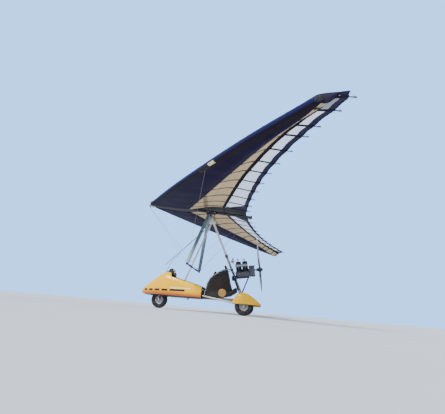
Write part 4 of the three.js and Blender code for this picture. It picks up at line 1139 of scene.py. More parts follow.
def pad_form(rows, half, thick):
    """A pad as a table with one row a station: x and z of its spine, the way to the side that is sat
    on, half width with a waist, and half thickness. Quarter ellipses close both at the two ends."""
    spine = smooth_path(np.c_[np.array(rows, float), np.zeros(len(rows))], STATIONS)[:, :2]
    ahead = unit(np.gradient(spine, axis=0))
    walked = np.r_[0, np.cumsum(np.linalg.norm(np.diff(spine, axis=0), axis=1))]
    close = np.clip(np.minimum(walked, walked[-1] - walked) / (thick * 0.9), 0, 1)
    end = np.sqrt(np.clip(close * (2 - close), 0.0004, 1))
    waist = 1 - 0.06 * np.sin(math.pi * np.linspace(0, 1, STATIONS)) ** 2
    return np.c_[spine, ahead[:, 1], -ahead[:, 0], half * waist * (0.86 + 0.14 * end), thick / 2 * end]


def pad_point(form, turn, dips=1.0):
    """Points of the pad round one section: a superellipse with a crown, flatter underneath, that sinks
    on its upper side by the dips."""
    x, z, out_x, out_z, wide, high = form.T[..., None]
    across = swell(np.cos(turn), 3.4)
    lift = swell(np.sin(turn), 2.4) * (1 + 0.22 * (1 - across**2))
    level = high * np.where(lift > 0, lift * dips, 0.8 * lift)
    return trike(x + out_x * level, across * wide, z + out_z * level)


def seat_marks(points, form):
    """For every point of a pad: share along the spine, place across from -1 to 1, and height over the
    spine in metres, all from the nearest row of the spine and the point's place beside that row."""
    flat = (points[:, [0, 2]] - [AXLE_X, 0]) * 1000
    row = np.argmin(np.linalg.norm(flat[:, None] - form[:, :2], axis=2), axis=1)
    beyond, out = flat - form[row, :2], form[row, 2:4]
    gap = np.linalg.norm(np.diff(form[:, :2], axis=0), axis=1).mean()
    along = np.clip(row + (beyond * out[:, ::-1] * [-1, 1]).sum(1) / gap, 0, STATIONS - 1)
    half = np.interp(along, np.arange(STATIONS), form[:, 4])
    return np.stack([along / (STATIONS - 1), points[:, 1] * 1000 / half, (beyond * out).sum(1) / 1000], -1)


# %% [markdown]
# The covers are blown up as cloth under pressure, as a stuffed cover is: held at the sewn channels, the
# piped edge and the stiff back, and free to swell between them. The pad is remeshed first, so that the
# cloth has even cells.

# %% Pads, simulated as cloth
SWELL_CAP, PRESSURE, FRAMES = 0.016, 11, 20


def coordinates(mesh):
    """A mesh's points as an array."""
    points = np.empty(len(mesh.vertices) * 3)
    mesh.vertices.foreach_get("co", points)
    return points.reshape(-1, 3)


def inflated(piece, held):
    """Blows a pad up without gravity. Held points stay where they are, and none moves beyond the cap."""
    piece.vertex_groups.new(name="held").add(np.flatnonzero(held).tolist(), 1.0, "REPLACE")
    cover = piece.modifiers.new("cover", "CLOTH")
    cover.settings.vertex_group_mass = "held"
    cover.settings.use_pressure = True
    cover.settings.uniform_pressure_force = PRESSURE
    cover.settings.effector_weights.gravity = 0
    for number in range(1, FRAMES + 1):
        bpy.context.scene.frame_set(number)
    before = coordinates(piece.data)
    move = coordinates(piece.evaluated_get(bpy.context.evaluated_depsgraph_get()).to_mesh()) - before
    far = np.linalg.norm(move, axis=1)[:, None]
    piece.modifiers.remove(cover)
    piece.vertex_groups.clear()
    bpy.context.scene.frame_set(1)
    move *= np.minimum(1, SWELL_CAP / np.maximum(far, 1e-9))
    piece.data.vertices.foreach_set("co", (before + move).ravel())
    piece.data.update()
    print(piece.name, "swells by", round(float(far.max()) * 1000, 1), "mm at most, over", len(before), "points")


def pad(name, rows, half, thick, channels):
    """Padded seat that sinks at every sewn channel. Gives its piped edge, its form and its points."""
    form, channels = pad_form(rows, half, thick), np.array(channels)
    dips = 1 - 0.40 * np.exp(-((np.linspace(0, 1, STATIONS)[:, None] - channels) / 0.010) ** 2).sum(1)[:, None]
    piece = put(f"{name}_pad", lofted(pad_point(form, angles(72), dips)), SEAT_CLOTH, name, sharp=80)
    baked(piece, "REMESH", mode="VOXEL", voxel_size=0.006)
    along, across, over = seat_marks(coordinates(piece.data), form).T
    sewn = (np.abs(along[:, None] - channels) < CHANNEL_HALF).any(1)
    inflated(piece, sewn | (over < 0.004) | (np.abs(across) > 0.93) | (along < 0.02) | (along > 0.98))
    piece.data.shade_smooth()
    modified(piece, "SUBSURF", levels=1, render_levels=1)
    marks = seat_marks(coordinates(piece.data), form)
    piece.data.attributes.new("seat", "FLOAT_VECTOR", "POINT").data.foreach_set("vector", marks.ravel())
    port, starboard = (pad_point(form, np.array([way]))[2:-2, 0] for way in (0.40, math.pi - 0.40))
    return swept(np.vstack([port, starboard[::-1], port[:1]]), 3.4, 8), (form, coordinates(piece.data))


piping, seats = zip(
    pad("front_seat", [(1128, 420), (1040, 427), (930, 420), (850, 414), (794, 436), (768, 500), (746, 600), (716, 720),
                       (688, 820), (674, 866)], 184, 60, (0.10, 0.21, 0.32, 0.55, 0.66, 0.77, 0.88)),
    pad("rear_seat", [(636, 526), (560, 532), (470, 524), (400, 518), (366, 544), (372, 620), (396, 740), (430, 860),
                      (464, 960), (486, 1014)], 192, 58, (0.10, 0.20, 0.30, 0.50, 0.61, 0.72, 0.83, 0.93)))
put("seat_piping", list(piping), WEBBING)

# %% [markdown]
# Two webbing belts with steel buckles lie on each seat. A belt is an oblong ring carried along a slanting
# line over the pad, and raised until it lies on the swollen cover.

# %% Belts and buckles
BELT_STEPS, BELT_THICK, BELT_HALF = 26, 0.0024, 0.023
BELT_CORNERS = np.array([(-1, -0.5), (-1, 0.5), (-0.94, 1), (0.94, 1), (1, 0.5), (1, -0.5), (0.94, -1), (-0.94, -1)])


def belt(seat, rows, sign):
    """Webbing from the pad's side to its middle. Each point of its path rises to the highest of the
    pad's points within 8 mm of its normal. Gives the shape, and its last point and normal."""
    form, points = seat
    turn, pick = np.linspace(0.10, 1.46, BELT_STEPS), np.arange(BELT_STEPS)
    own = np.stack([np.interp(np.linspace(*rows, BELT_STEPS), np.arange(STATIONS), c) for c in form.T], -1)
    path, above = (pad_point(own + [0, 0, 0, 0, grow, grow], turn)[pick, pick] * [1, sign, 1] for grow in (0, 3))
    normals = unit(above - path)
    gap = points[None] - path[:, None]
    height = (gap * normals[:, None]).sum(-1)
    beside = np.linalg.norm(gap - height[..., None] * normals[:, None], axis=-1)
    top = np.where((beside < 0.008) & (np.abs(height) < 0.025), height, -1).max(1)
    path = path + normals * (np.where(top > -1, top, 0) + BELT_THICK / 2 + 0.001)[:, None]
    across = unit(np.cross(normals, np.gradient(path, axis=0)))
    ring = BELT_CORNERS[:, :1] * BELT_HALF * across[:, None] + BELT_CORNERS[:, 1:] * BELT_THICK / 2 * normals[:, None]
    return lofted(path[:, None] + ring), path[-1], normals[-1]


belts, buckles = [], []
for seat, rows in zip(seats, ((38, 25), (36, 24))):
    for _, sign in SIDES:
        strap, middle, normal = belt(seat, rows, sign)
        belts.append(strap)
    middle, normal = middle * [1, 0, 1] + 0.001 * normal, normal * [1, 0, 1]
    axes = np.stack([np.cross(PORT, normal), PORT, normal])
    buckles.append(soft_block((-24, -36, 0), (24, 36, 13), lambda x, y, z: columns(x, y, z) / 1000 @ axes + middle, 5))
put("lap_belts", belts, WEBBING)
put("belt_buckles", buckles, BOLT_STEEL)
print("seats made")

# %% [markdown]
# ## The trike's frame
# A square beam runs under everything. The mast leans forward on it and folds at a knuckle; the front strut
# ties its head to the beam's front end. The seat rails carry the harness and stiffen the engine's mount.

# %% Beam, mast, strut, stay and rails
HANG_X, HANG_Z, FOOT_X, FOOT_Z = 877, 2046, 20, 280
KNUCKLE_Z, HEAD_LOW = 1228, HANG_Z - 100


def mast_at(z):
    return trike(FOOT_X + (z - FOOT_Z) * (HANG_X - FOOT_X) / (HANG_Z - FOOT_Z), 0, z)


def strut_at(z):
    return trike(892 + (1950 - z) * (1470 - 892) / (1950 - 325), 0, z)


def bow(x, z, wide, high, start=0, end=math.pi, count=17):
    """Part of an ellipse as [x, z] rows."""
    t = np.linspace(start, end, count)
    return np.c_[x + wide * np.cos(t), z + high * np.sin(t)]


MAST_WAY = unit(mast_at(2000) - mast_at(1000))
put("main_beam", soft_block((-35, -25, 265), (1620, 25, 325), trike, 16, 24, 64), TAN_PAINT, "base_beam")
put("beam_end_caps", [soft_block((x - 5, -26, 264), (x + 7, 26, 326), trike, 10) for x in (-32, 1616)], BLACK_PLASTIC)
bolts("beam_bolts", [(trike(x, 0, z), PORT, 5, 62) for x, z in (
    (12, 296), (60, 300), (1440, 300), (1500, 300), (1586, 305), (700, 290), (1000, 290))])
put("mast_lower_tube", rod(mast_at(300), mast_at(KNUCKLE_Z - 33), 25, 40, 0.05), TAN_PAINT, "mast_lower")
put("mast_knuckle", turned([(25.2, -36), (30, -36), (34, -30), (34, -4), (32, -2), (32, 2), (34, 4), (34, 30), (30, 36),
                            (25.2, 36)], mast_at(KNUCKLE_Z), MAST_WAY, 48), DARK_ALLOY, "mast_lower")
put("mast_upper_tube", rod(mast_at(KNUCKLE_Z + 30), mast_at(HEAD_LOW + 24), 25, 40, 0.05), WHITE_PAINT, "mast_upper")
put("mast_head", soft_block((HANG_X - 88, -30, HEAD_LOW), (HANG_X + 66, 30, HEAD_LOW + 56), trike, 8, 18, 48),
    WHITE_PAINT, "mast_upper")
outline = np.vstack([bow(HANG_X, HANG_Z + 2, 22, 20), [(HANG_X - 26, HEAD_LOW + 50), (HANG_X + 26, HEAD_LOW + 50)]])
put("mast_head_cheeks", [slab(outline, y - 5.2, y + 5.2, trike) for y in (-24.75, 24.75)], WHITE_PAINT, "mast_upper",
    bevel=1.5)
bolts("mast_bolts", [(trike(HANG_X, 0, HANG_Z), PORT, 6, 66), (mast_at(KNUCKLE_Z + 16), PORT, 4, 70),
                     (mast_at(KNUCKLE_Z - 18), PORT, 4, 70), (trike(HANG_X - 46, 0, HEAD_LOW + 28), PORT, 4, 64),
                     (trike(HANG_X + 36, 0, HEAD_LOW + 28), PORT, 4, 64), (mast_at(340), PORT, 5, 56)])
put("front_strut_tube", [rod(strut_at(low), strut_at(high), radius, 36, edge) for low, high, radius, edge in (
    (318, HEAD_LOW + 20, 18, 0.06), (322, 392, 20.5, 0.15), (1790, 1866, 20.5, 0.15), (1108, 1150, 20.5, 0.15))],
    WHITE_PAINT, "front_strut")
put("front_stay_tube", [rod(trike(*a), trike(*b), *how) for a, b, *how in (
    ((1840, 0, 943), (925, 0, 1889), 9, 24, 0.2), ((1840, 0, 943), (1814, 0, 970), 11.5, 20, 0.3),
    ((960, 0, 1853), (934, 0, 1880), 11.5, 20, 0.3))], ALLOY, "front_stay")
brace = [(1785, 0, 752), (1768, 0, 870), (1722, 0, 980), (1652, 0, 1078), (1565, 0, 1180), (1512, 0, 1276)]
put("stay_brace_tube", pipe(spots(trike, brace), 6, 44), ALLOY, "stay_brace")
put("brace_foot", turned([(0, 10), (14, 9), (22, 3), (26, -4), (0, -4)], trike(1786, 0, 790), (0.5, 0, 1), 36),
    BLACK_RUBBER)
RAIL = np.array([(872, 212, 350), (845, 224, 480), (800, 240, 640), (740, 248, 738), (640, 250, 812), (550, 248, 878),
                 (430, 232, 915), (378, 130, 932), (352, 10, 938)])
for side, sign in SIDES:
    put(f"seat_rail_{side}_tube", pipe(spots(trike, RAIL * [1, sign, 1]), 11, 90, 20), ALLOY, f"seat_rail_{side}")
put("rail_clamp", turned([(25.5, -16), (31, -16), (32, -10), (32, 10), (31, 16), (25.5, 16)], mast_at(938),
                         MAST_WAY, 40), DARK_ALLOY)
print("frame made")

# %% [markdown]
# A dark cloth fills the side between each seat rail and the moulding below it. Bands of webbing hold it to
# the rail, and its lower edge is tucked into the moulding. A ruled surface does it: straight lines from one
# edge to the other, drawn inwards a little where the cloth is free.

# %% Side cloths and their bands
FLANK_TOP = np.array([(222, 545), (330, 466), (420, 458), (704, 430), (790, 362), (920, 346)])
BELLY, TUCK = 0.006, 0.013


def side_cloth(p):
    edge = p.mark("hem").parts()[0]
    wander = p.noise(5, 4)
    tone = wander.past(0.5, 0.6).mix(rgb(40, 35, 33), rgb(58, 51, 47))
    tone = ((1 - edge.past(0.026, 0.002)) * 0.5).mix(tone, rgb(30, 27, 26))
    return {"Base Color": (seam(edge - 0.022, 0.0012) * 0.7).mix(tone, rgb(96, 88, 80)),
            "Roughness": wander * 0.15 + 0.75,
            "Normal": p.bump(p.waves(380, "X") + p.waves(380, "Z"), 0.0003, 0.5, p.bump(p.noise(7, 4), 0.006, 0.4))}


def band(at, way, below):
    """Webbing band round a rail, with its ends sewn to the cloth on that side where below lies."""
    out = unit(np.cross(way, below - at))
    axes = np.stack([way, np.cross(out, way), out])
    return joined(turned([(11.4, -12), (13.6, -12), (13.6, 12), (11.4, 12)], at, way, 28), soft_block(
        (-12, 11, -2.4), (12, 48, 2.4), lambda x, y, z: columns(x, y, z) / 1000 @ axes + at, 6, 8, 24))


SIDE_CLOTH = finish("side_cloth", side_cloth, "seat_cloth", Sheen_Weight=0.15, Specular_IOR_Level=0.2)
for side, sign in SIDES:
    rail = smooth_path(spots(trike, RAIL * [1, sign, 1]), 90)
    t = np.linspace(0, 1, 49)
    upper = np.stack([np.interp(5.5 + 61.5 * t, np.arange(90), coordinate) for coordinate in rail.T], -1)
    x = 852 - 552 * t
    lower = trike(x, sign * 222, np.interp(x, *FLANK_TOP.T) - 6)
    fall = np.linalg.norm(lower - upper, axis=1)
    v = TUCK / fall + (1 - TUCK / fall) * np.linspace(0, 1, 25)[:, None]
    points = upper + v[..., None] * (lower - upper)
    points[..., 1] -= sign * BELLY * np.sin(math.pi * v) * np.sin(math.pi * t)
    edge = np.minimum(np.minimum(v - v[0], 1 - v) * fall, np.minimum(t, 1 - t) * 0.55)
    cloth(f"side_cloth_{side}", points, {"hem": columns(edge, 0, 0)}, SIDE_CLOTH, "", "trike",
          (f"seat_rail_{side}", "rear_body"))
    way = unit(np.gradient(upper, axis=0))
    put(f"side_cloth_bands_{side}", [band(upper[i], way[i], lower[i]) for i in (4, 12, 20, 28, 36, 44)], WEBBING)

# %% [markdown]
# ## Wheels and suspension
# A tyre is a ring turned from one profile, with its grooves pressed in by a second function, so it stays
# one smooth mesh. The rims are two bolted halves.

# %% Tyres and rims
def ridge(value, middle, width):
    """Bell curve of height one."""
    return np.exp(-((value - middle) / width) ** 2)


def tyre(centre, tread=34):
    """Turned ring: a round carcass whose crown is cut by three grooves round it and by slanted blocks.
    The profile is a superellipse; the tread depth is a comb of the angle, fading at the shoulders."""
    turn = angles(288)[:, None]
    v = np.linspace(-1, 1, 57)
    angle = v * 0.80 * math.pi
    side_way = 46 * swell(np.sin(angle), 2.5)
    off = np.abs(side_way)
    radius = 131 + 47 * swell(np.cos(angle), 2.35)
    radius = np.where(np.abs(v) > 0.97, np.maximum(radius, 84), radius)
    rings = 4 * ridge(off, 15, 2.2) + 4 * ridge(side_way, 0, 2.2)
    comb = np.clip(np.sin(tread * turn + off / 7) * 3 - 1.6, 0, 1) * 3.2
    radius = radius - np.clip((radius - 163) / 8, 0, 1) * np.maximum(rings, comb * np.clip((off - 17) / 3, 0, 1))
    lines = 0.7 * (ridge(radius, 108, 1.6) + ridge(radius, 150, 1.6))
    side_way = side_way + np.sign(side_way) * lines * (off > 30)
    points = columns(radius * np.cos(turn), side_way, radius * np.sin(turn)) / 1000 + centre
    closed = np.concatenate([points, points[:, :1]], 1)
    return skin(np.concatenate([closed, closed[:1]]))


RUBBER = plain("tyre_rubber", "tyre_black", lambda p: p.noise(11, 5).past(0.55, 0.25) * 0.7, rgb(28, 28, 29),
               rgb(74, 68, 60), (20, 3, 0.16, 0.78), lambda p: p.bump(p.noise(300, 2), 0.0006, 0.4))
RIM_GREY = painted("rim_paint", rgb(176, 178, 180), rgb(90, 84, 78), "rim_grey", gloss=0.38, dust=0.45)


def rim(c, bore):
    """Two dished halves: a turned form, with hub, web and bead seats, ribs, and bolts round the web."""
    half = [(bore, 44), (26, 44), (30, 40), (33, 14), (38, 11), (60, 9), (66, 16), (71, 34), (78, 36.5), (83, 36)]
    web = turned([(r, -y) for r, y in half] + half[::-1], c, PORT, 72)
    ribs = [soft_block((36, -13.5, -3.5), (70, 13.5, 3.5), lambda x, y, z: c + columns(
        x * math.cos(t) - z * math.sin(t), y, x * math.sin(t) + z * math.cos(t)) / 1000, 5, 8, 20)
            for t in angles(6) + 0.5]
    small = [bolt(c + columns(0.049 * math.cos(t), 0, 0.049 * math.sin(t)), PORT, 3.2, 26) for t in angles(6)]
    return [web] + ribs, small + [rod(c + [0.066, 0.010, 0], c + [0.060, 0.046, 0], 3.4, 12)]


for name, x, y, bore in (("nose_wheel", WHEELBASE, 0, 10.8), ("wheel_left", 0, HALF_TRACK, 12.8),
                         ("wheel_right", 0, -HALF_TRACK, 12.8)):
    centre = trike(x, y, WHEEL_RADIUS)
    web, small = rim(centre, bore)
    put(f"{name}_tyre_tread", tyre(centre), RUBBER, f"{name}_tyre", name, sharp=28)
    put(f"{name}_rim_halves", web, RIM_GREY, f"{name}_rim", name, sharp=32)
    put(f"{name}_rim_bolts", small, BOLT_STEEL, "", name)

# %% [markdown]
# The nose wheel turns in a fork that the feet steer: its stem leans back in a head tube at the end of the
# frame, and a foot bar with ribbed pegs is clamped across it.

# %% Steering head, fork and foot bar
RAKE_TAN = math.tan(math.radians(15))
CROWN_Z, BAR_Z = 402, 548


def steer_x(z):
    return 1860 - (z - WHEEL_RADIUS) * RAKE_TAN


def steer_at(z, y=0):
    return trike(steer_x(z), y, z)


STEER_WAY, FORK_X = unit(steer_at(500) - steer_at(400)), steer_x(CROWN_Z)
head = turned([(13.6, 0), (22.5, 0), (24.5, 4), (24.5, 12), (22, 15), (22, 76), (24.5, 79), (24.5, 87), (22.5, 91),
               (13.6, 91)], steer_at(432), STEER_WAY, 48)
put("steering_head_tube", [head, rod(steer_at(470), trike(1592, 0, 320), 16, 28, 0.1)], DARK_ALLOY, "steering_head")
fork = [rod(steer_at(395), steer_at(560), 13, 32),
        soft_block((FORK_X - 30, -78, 386), (FORK_X + 30, 78, 409), trike, 5, 16, 48)]
pegs = []
for _, sign in SIDES:
    path = smooth_path([(WHEELBASE, sign * 66, 158), (WHEELBASE, sign * 66, 178), (WHEELBASE - 12, sign * 66, 230),
                        (FORK_X + 20, sign * 66, 330), (FORK_X, sign * 66, CROWN_Z)], 24)
    turn, taper = angles(28), np.linspace(0.82, 1, 24)[:, None]
    fork.append(lofted(spots(trike, path[:, None] + columns(22 * taper * np.cos(turn), 11 * np.sin(turn), 0))))
    y = np.linspace(96, 178, 48)
    pegs.append(swept(steer_at(BAR_Z, sign * y), 15 + 1.1 * np.sign(np.sin(y / 2.1)), 24))
put("fork_legs", fork, DARK_ALLOY, "fork", "fork")
axle = [bolt(trike(WHEELBASE, 0, WHEEL_RADIUS), PORT, 10, 158, 0.6)]
axle += [rod(trike(WHEELBASE, s * 45, WHEEL_RADIUS), trike(WHEELBASE, s * 55, WHEEL_RADIUS), 14) for s in (1, -1)]
put("fork_axle", axle, BOLT_STEEL, "fork", "fork")
clamp = turned([(0, 28), (16, 28), (22, 22), (22, 2), (18, 0), (0, 0)], steer_at(535), STEER_WAY, 36)
put("foot_bar", [clamp, rod(steer_at(BAR_Z, -180), steer_at(BAR_Z, 180), 11, 24)], DARK_ALLOY, "fork", "fork")
put("foot_pegs", pegs, BLACK_RUBBER, "", "fork")

# %% [markdown]
# The back wheels sit on stub axles at the ends of the legs. Drag struts hold the legs back, and a strut
# with a rubber cord and a spring inside a sleeve holds each of them down.

# %% Rear legs, drag struts and suspension struts
for side, sign in SIDES:
    def port(x, y, z):
        return trike(x, sign * np.asarray(y, float), z)

    turn, line = angles(40), np.linspace(0, 1, 9)[:, None]
    leg = columns(32 * np.cos(turn) - 3 * np.sin(turn) ** 2, 14 + line * 708, 302 - line * 88 + 13 * np.sin(turn))
    put(f"rear_leg_{side}", lofted(spots(port, leg)), ALLOY, f"axle_leg_{side}")
    outline = np.vstack([bow(14, 316, 48, 36, count=13), bow(14, 190, 48, 40, math.pi, 2 * math.pi, 13)])
    put(f"axle_plate_{side}", slab(outline, *sorted((sign * 716, sign * 734)), trike), ALLOY,
        f"axle_leg_{side}", bevel=1.2)
    stub, nut, collar = (rod(port(0, a, WHEEL_RADIUS), port(0, b, WHEEL_RADIUS), *how) for a, b, *how in (
        (722, 872, 12, 28), (860, 877, 20, 6, 0.15), (734, 762, 18, 28)))
    put(f"axle_stub_{side}", [stub, collar], ALLOY, f"axle_leg_{side}")
    put(f"axle_nut_{side}", nut, BOLT_STEEL, f"axle_leg_{side}")
    put(f"drag_strut_{side}_tube", [rod(port(905, 214, 330), port(58, 714, 210), 13, 28),
                                    rod(port(110, 683, 217), port(60, 713, 210), 15.5, 24)],
        WHITE_PAINT, f"drag_strut_{side}")
    top, foot = mast_at(945), port(46, 724, 312)
    way = unit(foot - top)
    put(f"suspension_{side}_rod", rod(top + way * 0.02, foot, 12, 28), ALLOY, f"suspension_{side}")
    a, b = port(250, 259, 728), port(127, 542, 475)
    sleeve = a + (b - a) * np.array([0, 0.015, 0.03, 0.97, 0.985, 1])[:, None]
    put(f"suspension_{side}_sleeve", swept(sleeve, [16, 21.5, 22, 22, 21.5, 16], 32), DARK_ALLOY, f"suspension_{side}",
        slot="alloy")
    t = np.linspace(0, 1, 260)[:, None]
    first = unit(np.cross(way, [1, 0, 0]))
    coil = b + way * (0.008 + 0.086 * t) + 0.019 * (np.cos(t * 44) * first + np.sin(t * 44) * np.cross(way, first))
    put(f"suspension_{side}_spring", swept(coil, 2.8, 8), BOLT_STEEL)
    bolts(f"rear_leg_bolts_{side}", [(port(46, 724, 306), PORT, 5, 34), (port(52, 722, 209), PORT, 5, 36),
                                     (port(-20, 40, 300), (1, 0, 0), 4, 30), (port(905, 214, 330), PORT, 5, 34)])
print("wheels and legs made")

# %% [markdown]
# A spat is a drop of glass fibre over each back wheel: half a superellipse for its section, hollow, with
# its rim trimmed in rubber and held by three screws.

# %% Spats
SPAT_LOW = 208
SPAT_ROWS = [(-335, 5, 236), (-250, 34, 300), (-120, 66, 388), (0, 80, 430), (110, 78, 412),
             (190, 56, 336), (224, 22, 258)]
for side, sign in SIDES:
    x = np.r_[np.linspace(-334.5, 190, 60), np.linspace(195, 223.5, 12)][:, None]
    t = np.linspace(0, math.pi, 49)
    rise = (eased(SPAT_ROWS, x, 2) - SPAT_LOW) * swell(np.sin(t), 2.7)
    grid = np.concatenate([columns(-335.5, 0, SPAT_LOW + 10 * np.sin(t))[None],
                           columns(x, eased(SPAT_ROWS, x) * swell(np.cos(t), 2.7), SPAT_LOW + rise),
                           columns(224.5, 0, SPAT_LOW + 16 * np.sin(t))[None]]) + [0, sign * HALF_TRACK, 0]
    spat = put(f"spat_{side}_shell", skin(spots(trike, grid)), SPAT_PAINT, f"spat_{side}", sharp=50)
    baked(spat, "SOLIDIFY", thickness=0.004, offset=-1)
    edge = np.concatenate([grid[:, 0], grid[::-1, -1], grid[:1, 0]])
    put(f"spat_{side}_edge", swept(spots(trike, edge), 4.2, 8), BLACK_RUBBER)
    bolts(f"spat_{side}_screws", [(trike(x, sign * (HALF_TRACK - 76), z), PORT, 3.5, 16)
                                  for x, z in ((-30, 330), (30, 330), (0, 270))])
print("spats made")

# %% [markdown]
# ## Engine and propeller
# Behind the rear seat two upright cylinders stand on a flat crankcase, with fins for the air that flows
# past. The intake with its two carburettors is on the port side, the exhaust drum on the starboard side,
# and a belt case at the back drops the speed for a three-bladed propeller.

# %% Crankcase, cylinders, heads and belt case
CYLINDERS = (-60, 80)
CAST_GREY = metal("cast_case", rgb(112, 114, 116), "engine_grey", rough=0.5, streak=(3, 3, 3), dull=0.8, metallic=0.55,
                  grain=90)
FIN_BLACK = metal("fin_black", rgb(58, 58, 60), "engine_grey", rough=0.55, streak=(2, 2, 8), metallic=0.45)
EXHAUST_BROWN = painted("exhaust_skin", rgb(150, 124, 98), rgb(104, 60, 40), "exhaust_brown", gloss=0.6, coat=0.0,
                        dust=0.55, speck=50)
HOSE_BLACK = moulded("fuel_hose", rgb(30, 30, 32), pimple=160)
PLUG_RED = moulded("plug_cap", rgb(150, 46, 36))

put("engine_bearer", [soft_block((-136, -95, -22), (175, 95, 0), bay, 22, 20, 60),
                      soft_block((152, -40, -60), (250, 40, 40), bay, 12, 16, 48),
                      rod(bay(-110, 0, -24), mast_at(432), 14, 24)], DARK_ALLOY, "engine_tray")
put("engine_rubbers", [turned([(0, 22), (16, 22), (21, 15), (21, 6), (16, -1), (0, -1)], bay(x, y, 0), BAY_UP, 28)
                       for x in (-112, 128) for y in (-84, 84)], BLACK_RUBBER)
case = [soft_block((-140, -110, 14), (150, 110, 118), bay, 7, 20, 60),
        soft_block((-128, -104, 2), (138, 104, 30), bay, 9),
        soft_block((-146, -114, 60), (156, 114, 70), bay, 10, 12, 48)]
case += [soft_block((x - 12, y - 6, 24), (x + 12, y + 6, 108), bay, 4)
         for x in (-104, -34, 36, 106) for y in (108, -108)]
put("crankcase", case, CAST_GREY, "engine")
barrels, fins = [], []
for x in CYLINDERS:
    barrels.append(rod(bay(x, 0, 104), bay(x, 0, 300), 46, 40, 0.03))
    fins += [soft_block((x - 64, -74, z), (x + 64, 74, z + 4.6), bay, 5, 6, 44) for z in np.arange(128, 300, 16)]
    fins.append(soft_block((x - 56, -60, 298), (x + 56, 60, 326), bay, 7, 12, 44))
    fins += [soft_block((x - 52, y - 2, 318), (x + 52, y + 2, 338), bay, 5, 6, 20) for y in np.linspace(-48, 48, 9)]
put("cylinder_barrels", barrels, CAST_GREY, "engine")
put("cylinder_fins", fins, FIN_BLACK, "engine")
studs = [(bay(x + sx, y, 326), BAY_UP, 4, 20) for x in CYLINDERS for sx in (45, -45) for y in (50, -50)]
bolts("engine_studs", studs + [(bay(x, y, 65), BAY_UP, 3.2, 18) for x in (-120, -68, 0, 68, 128) for y in (113, -113)])
turn = angles(64)
grow = np.array([0.93, 1, 1, 1.03, 1.03, 1, 1, 0.96])[:, None]
case = bay(np.array([-262, -258, -204, -202, -198, -196, -144, -139])[:, None],
           66 * swell(np.cos(turn), 2 / 0.85) * grow,
           116 + 123 * swell(np.sin(turn), 2 / 0.8) * grow)
put("reduction_case", lofted(case), CAST_GREY, "engine", sharp=30)
bolts("reduction_bolts", [(bay(-258, y, z), BAY_AHEAD, 3.5, 14) for y, z in (
    (0, 228), (44, 206), (-44, 206), (58, 150), (-58, 150), (58, 80), (-58, 80), (40, 20), (-40, 20), (0, 2))])
plugs, caps, leads = [], [], []
for x in CYLINDERS:
    plugs += [rod(bay(x, 0, 326), bay(x, 0, 352), 9, 6, 0.2), rod(bay(x, 0, 350), bay(x, 0, 372), 6, 16)]
    caps.append(swept(spots(bay, [(x, 0, 362), (x, 0, 384), (x + 8, 3, 394), (x + 30, 10, 398)]), 9.5, 16))
    leads.append(pipe(spots(bay, [(x + 28, 9, 398), (x + 44, 30, 396), (x + 30, 64, 360), (x - 10, 84, 300),
                                  (x - 40, 88, 120)]), 3.6, 44, 10))
put("spark_plugs", plugs, BOLT_STEEL)
put("plug_caps", caps, PLUG_RED)
put("plug_leads", leads, HOSE_BLACK)
starter = [turned([(0, 6), (20, 6), (50, 3), (62, -6), (66, -16), (66, -30), (0, -30)], bay(150, 0, 66), BAY_AHEAD, 44)]
starter += [soft_block((150, -3, 22), (158, 3, 50), lambda x, y, z: bay(
    x, y * math.cos(t) - z * math.sin(t), 66 + y * math.sin(t) + z * math.cos(t)), 4, 6, 14)
            for t in np.arange(0, 6.28, 0.785)]
put("recoil_starter", starter, BLACK_PLASTIC, slot="engine_grey")

# %% [markdown]
# Two carburettors hang under a plenum with ribs, and two stubs lead the exhaust into a rolled drum, held
# to them by springs. Hoses carry the fuel; an overflow bottle is strapped to the mast.

# %% Intake, exhaust, hoses and the overflow bottle

def along_bay(xs, y, z, radii, sides):
    """Turned form along the engine: rings of the radii at the places xs."""
    return swept(bay(xs, y, z), radii, sides)


bodies = [soft_block((x - 24, 108, 196), (x + 24, 146, 250), bay, 4, 14, 32) for x in CYLINDERS]
for low, high, radius, sides in ((176, 200, 21, 28), (248, 284, 13, 24)):
    bodies += [rod(bay(x, 127, low), bay(x, 127, high), radius, sides, 0.2) for x in CYLINDERS]
bodies += [soft_block((x - 30, 72, 194), (x + 30, 80, 234), bay, 4) for x in CYLINDERS]
put("carburettors", bodies, CAST_GREY, "intake", slot="alloy")
plenum = [along_bay([-125, -120, -108, 133, 145, 150], 176, 238, [18, 26, 30, 30, 26, 18], 40)]
plenum += [along_bay(x, [70, 100, 140, 168], [212, 219, 230, 236], [20, 17, 17, 19], 28) for x in CYLINDERS]
plenum += [rod(bay(x, 176, 238), bay(x + 5, 176, 238), 31.2, 36, 0.05) for x in np.linspace(-96, 116, 12)]
put("intake_plenum", plenum, ALLOY, "intake")
drum = [along_bay([-160, -157, -150, -140, 112, 122, 128, 130], -182, 140, [30, 44, 51, 54, 54, 51, 44, 30], 48)]
drum += [along_bay([x - 3, x, x + 3], -182, 140, [53.5, 55.2, 53.5], 48) for x in (-136, 108)]
tail = bay([-150, -178, -205, -250], [-182, -184, -187, -190], [118, 108, 94, 70])
drum.append(pipe(tail, 20, 14, 28))
drum += [along_bay(x, [-70, -95, -125, -152], [190, 176, 160, 149], [20, 17, 17, 18], 28) for x in CYLINDERS]
put("exhaust_drum", drum, EXHAUST_BROWN, "exhaust")
t = np.linspace(0, 1, 90)
put("exhaust_springs", [along_bay(x + 24 + 4 * np.cos(t * 70), -88 - 52 * t, 184 - 30 * t + 4 * np.sin(t * 70), 1.1, 6)
                        for x in CYLINDERS], BOLT_STEEL)
fuel = [pipe(bay([150, 180, 190, 170], [60, 76, 50, 30], [70, 110, 10, -16]), 4.5, 40, 10)]
fuel += [pipe(bay([x, x + 20, x + 40, 150], [150, 158, 128, 100], [190, 150, 110, 84]), 3.5, 36, 10) for x in CYLINDERS]
put("fuel_hoses", fuel, HOSE_BLACK)
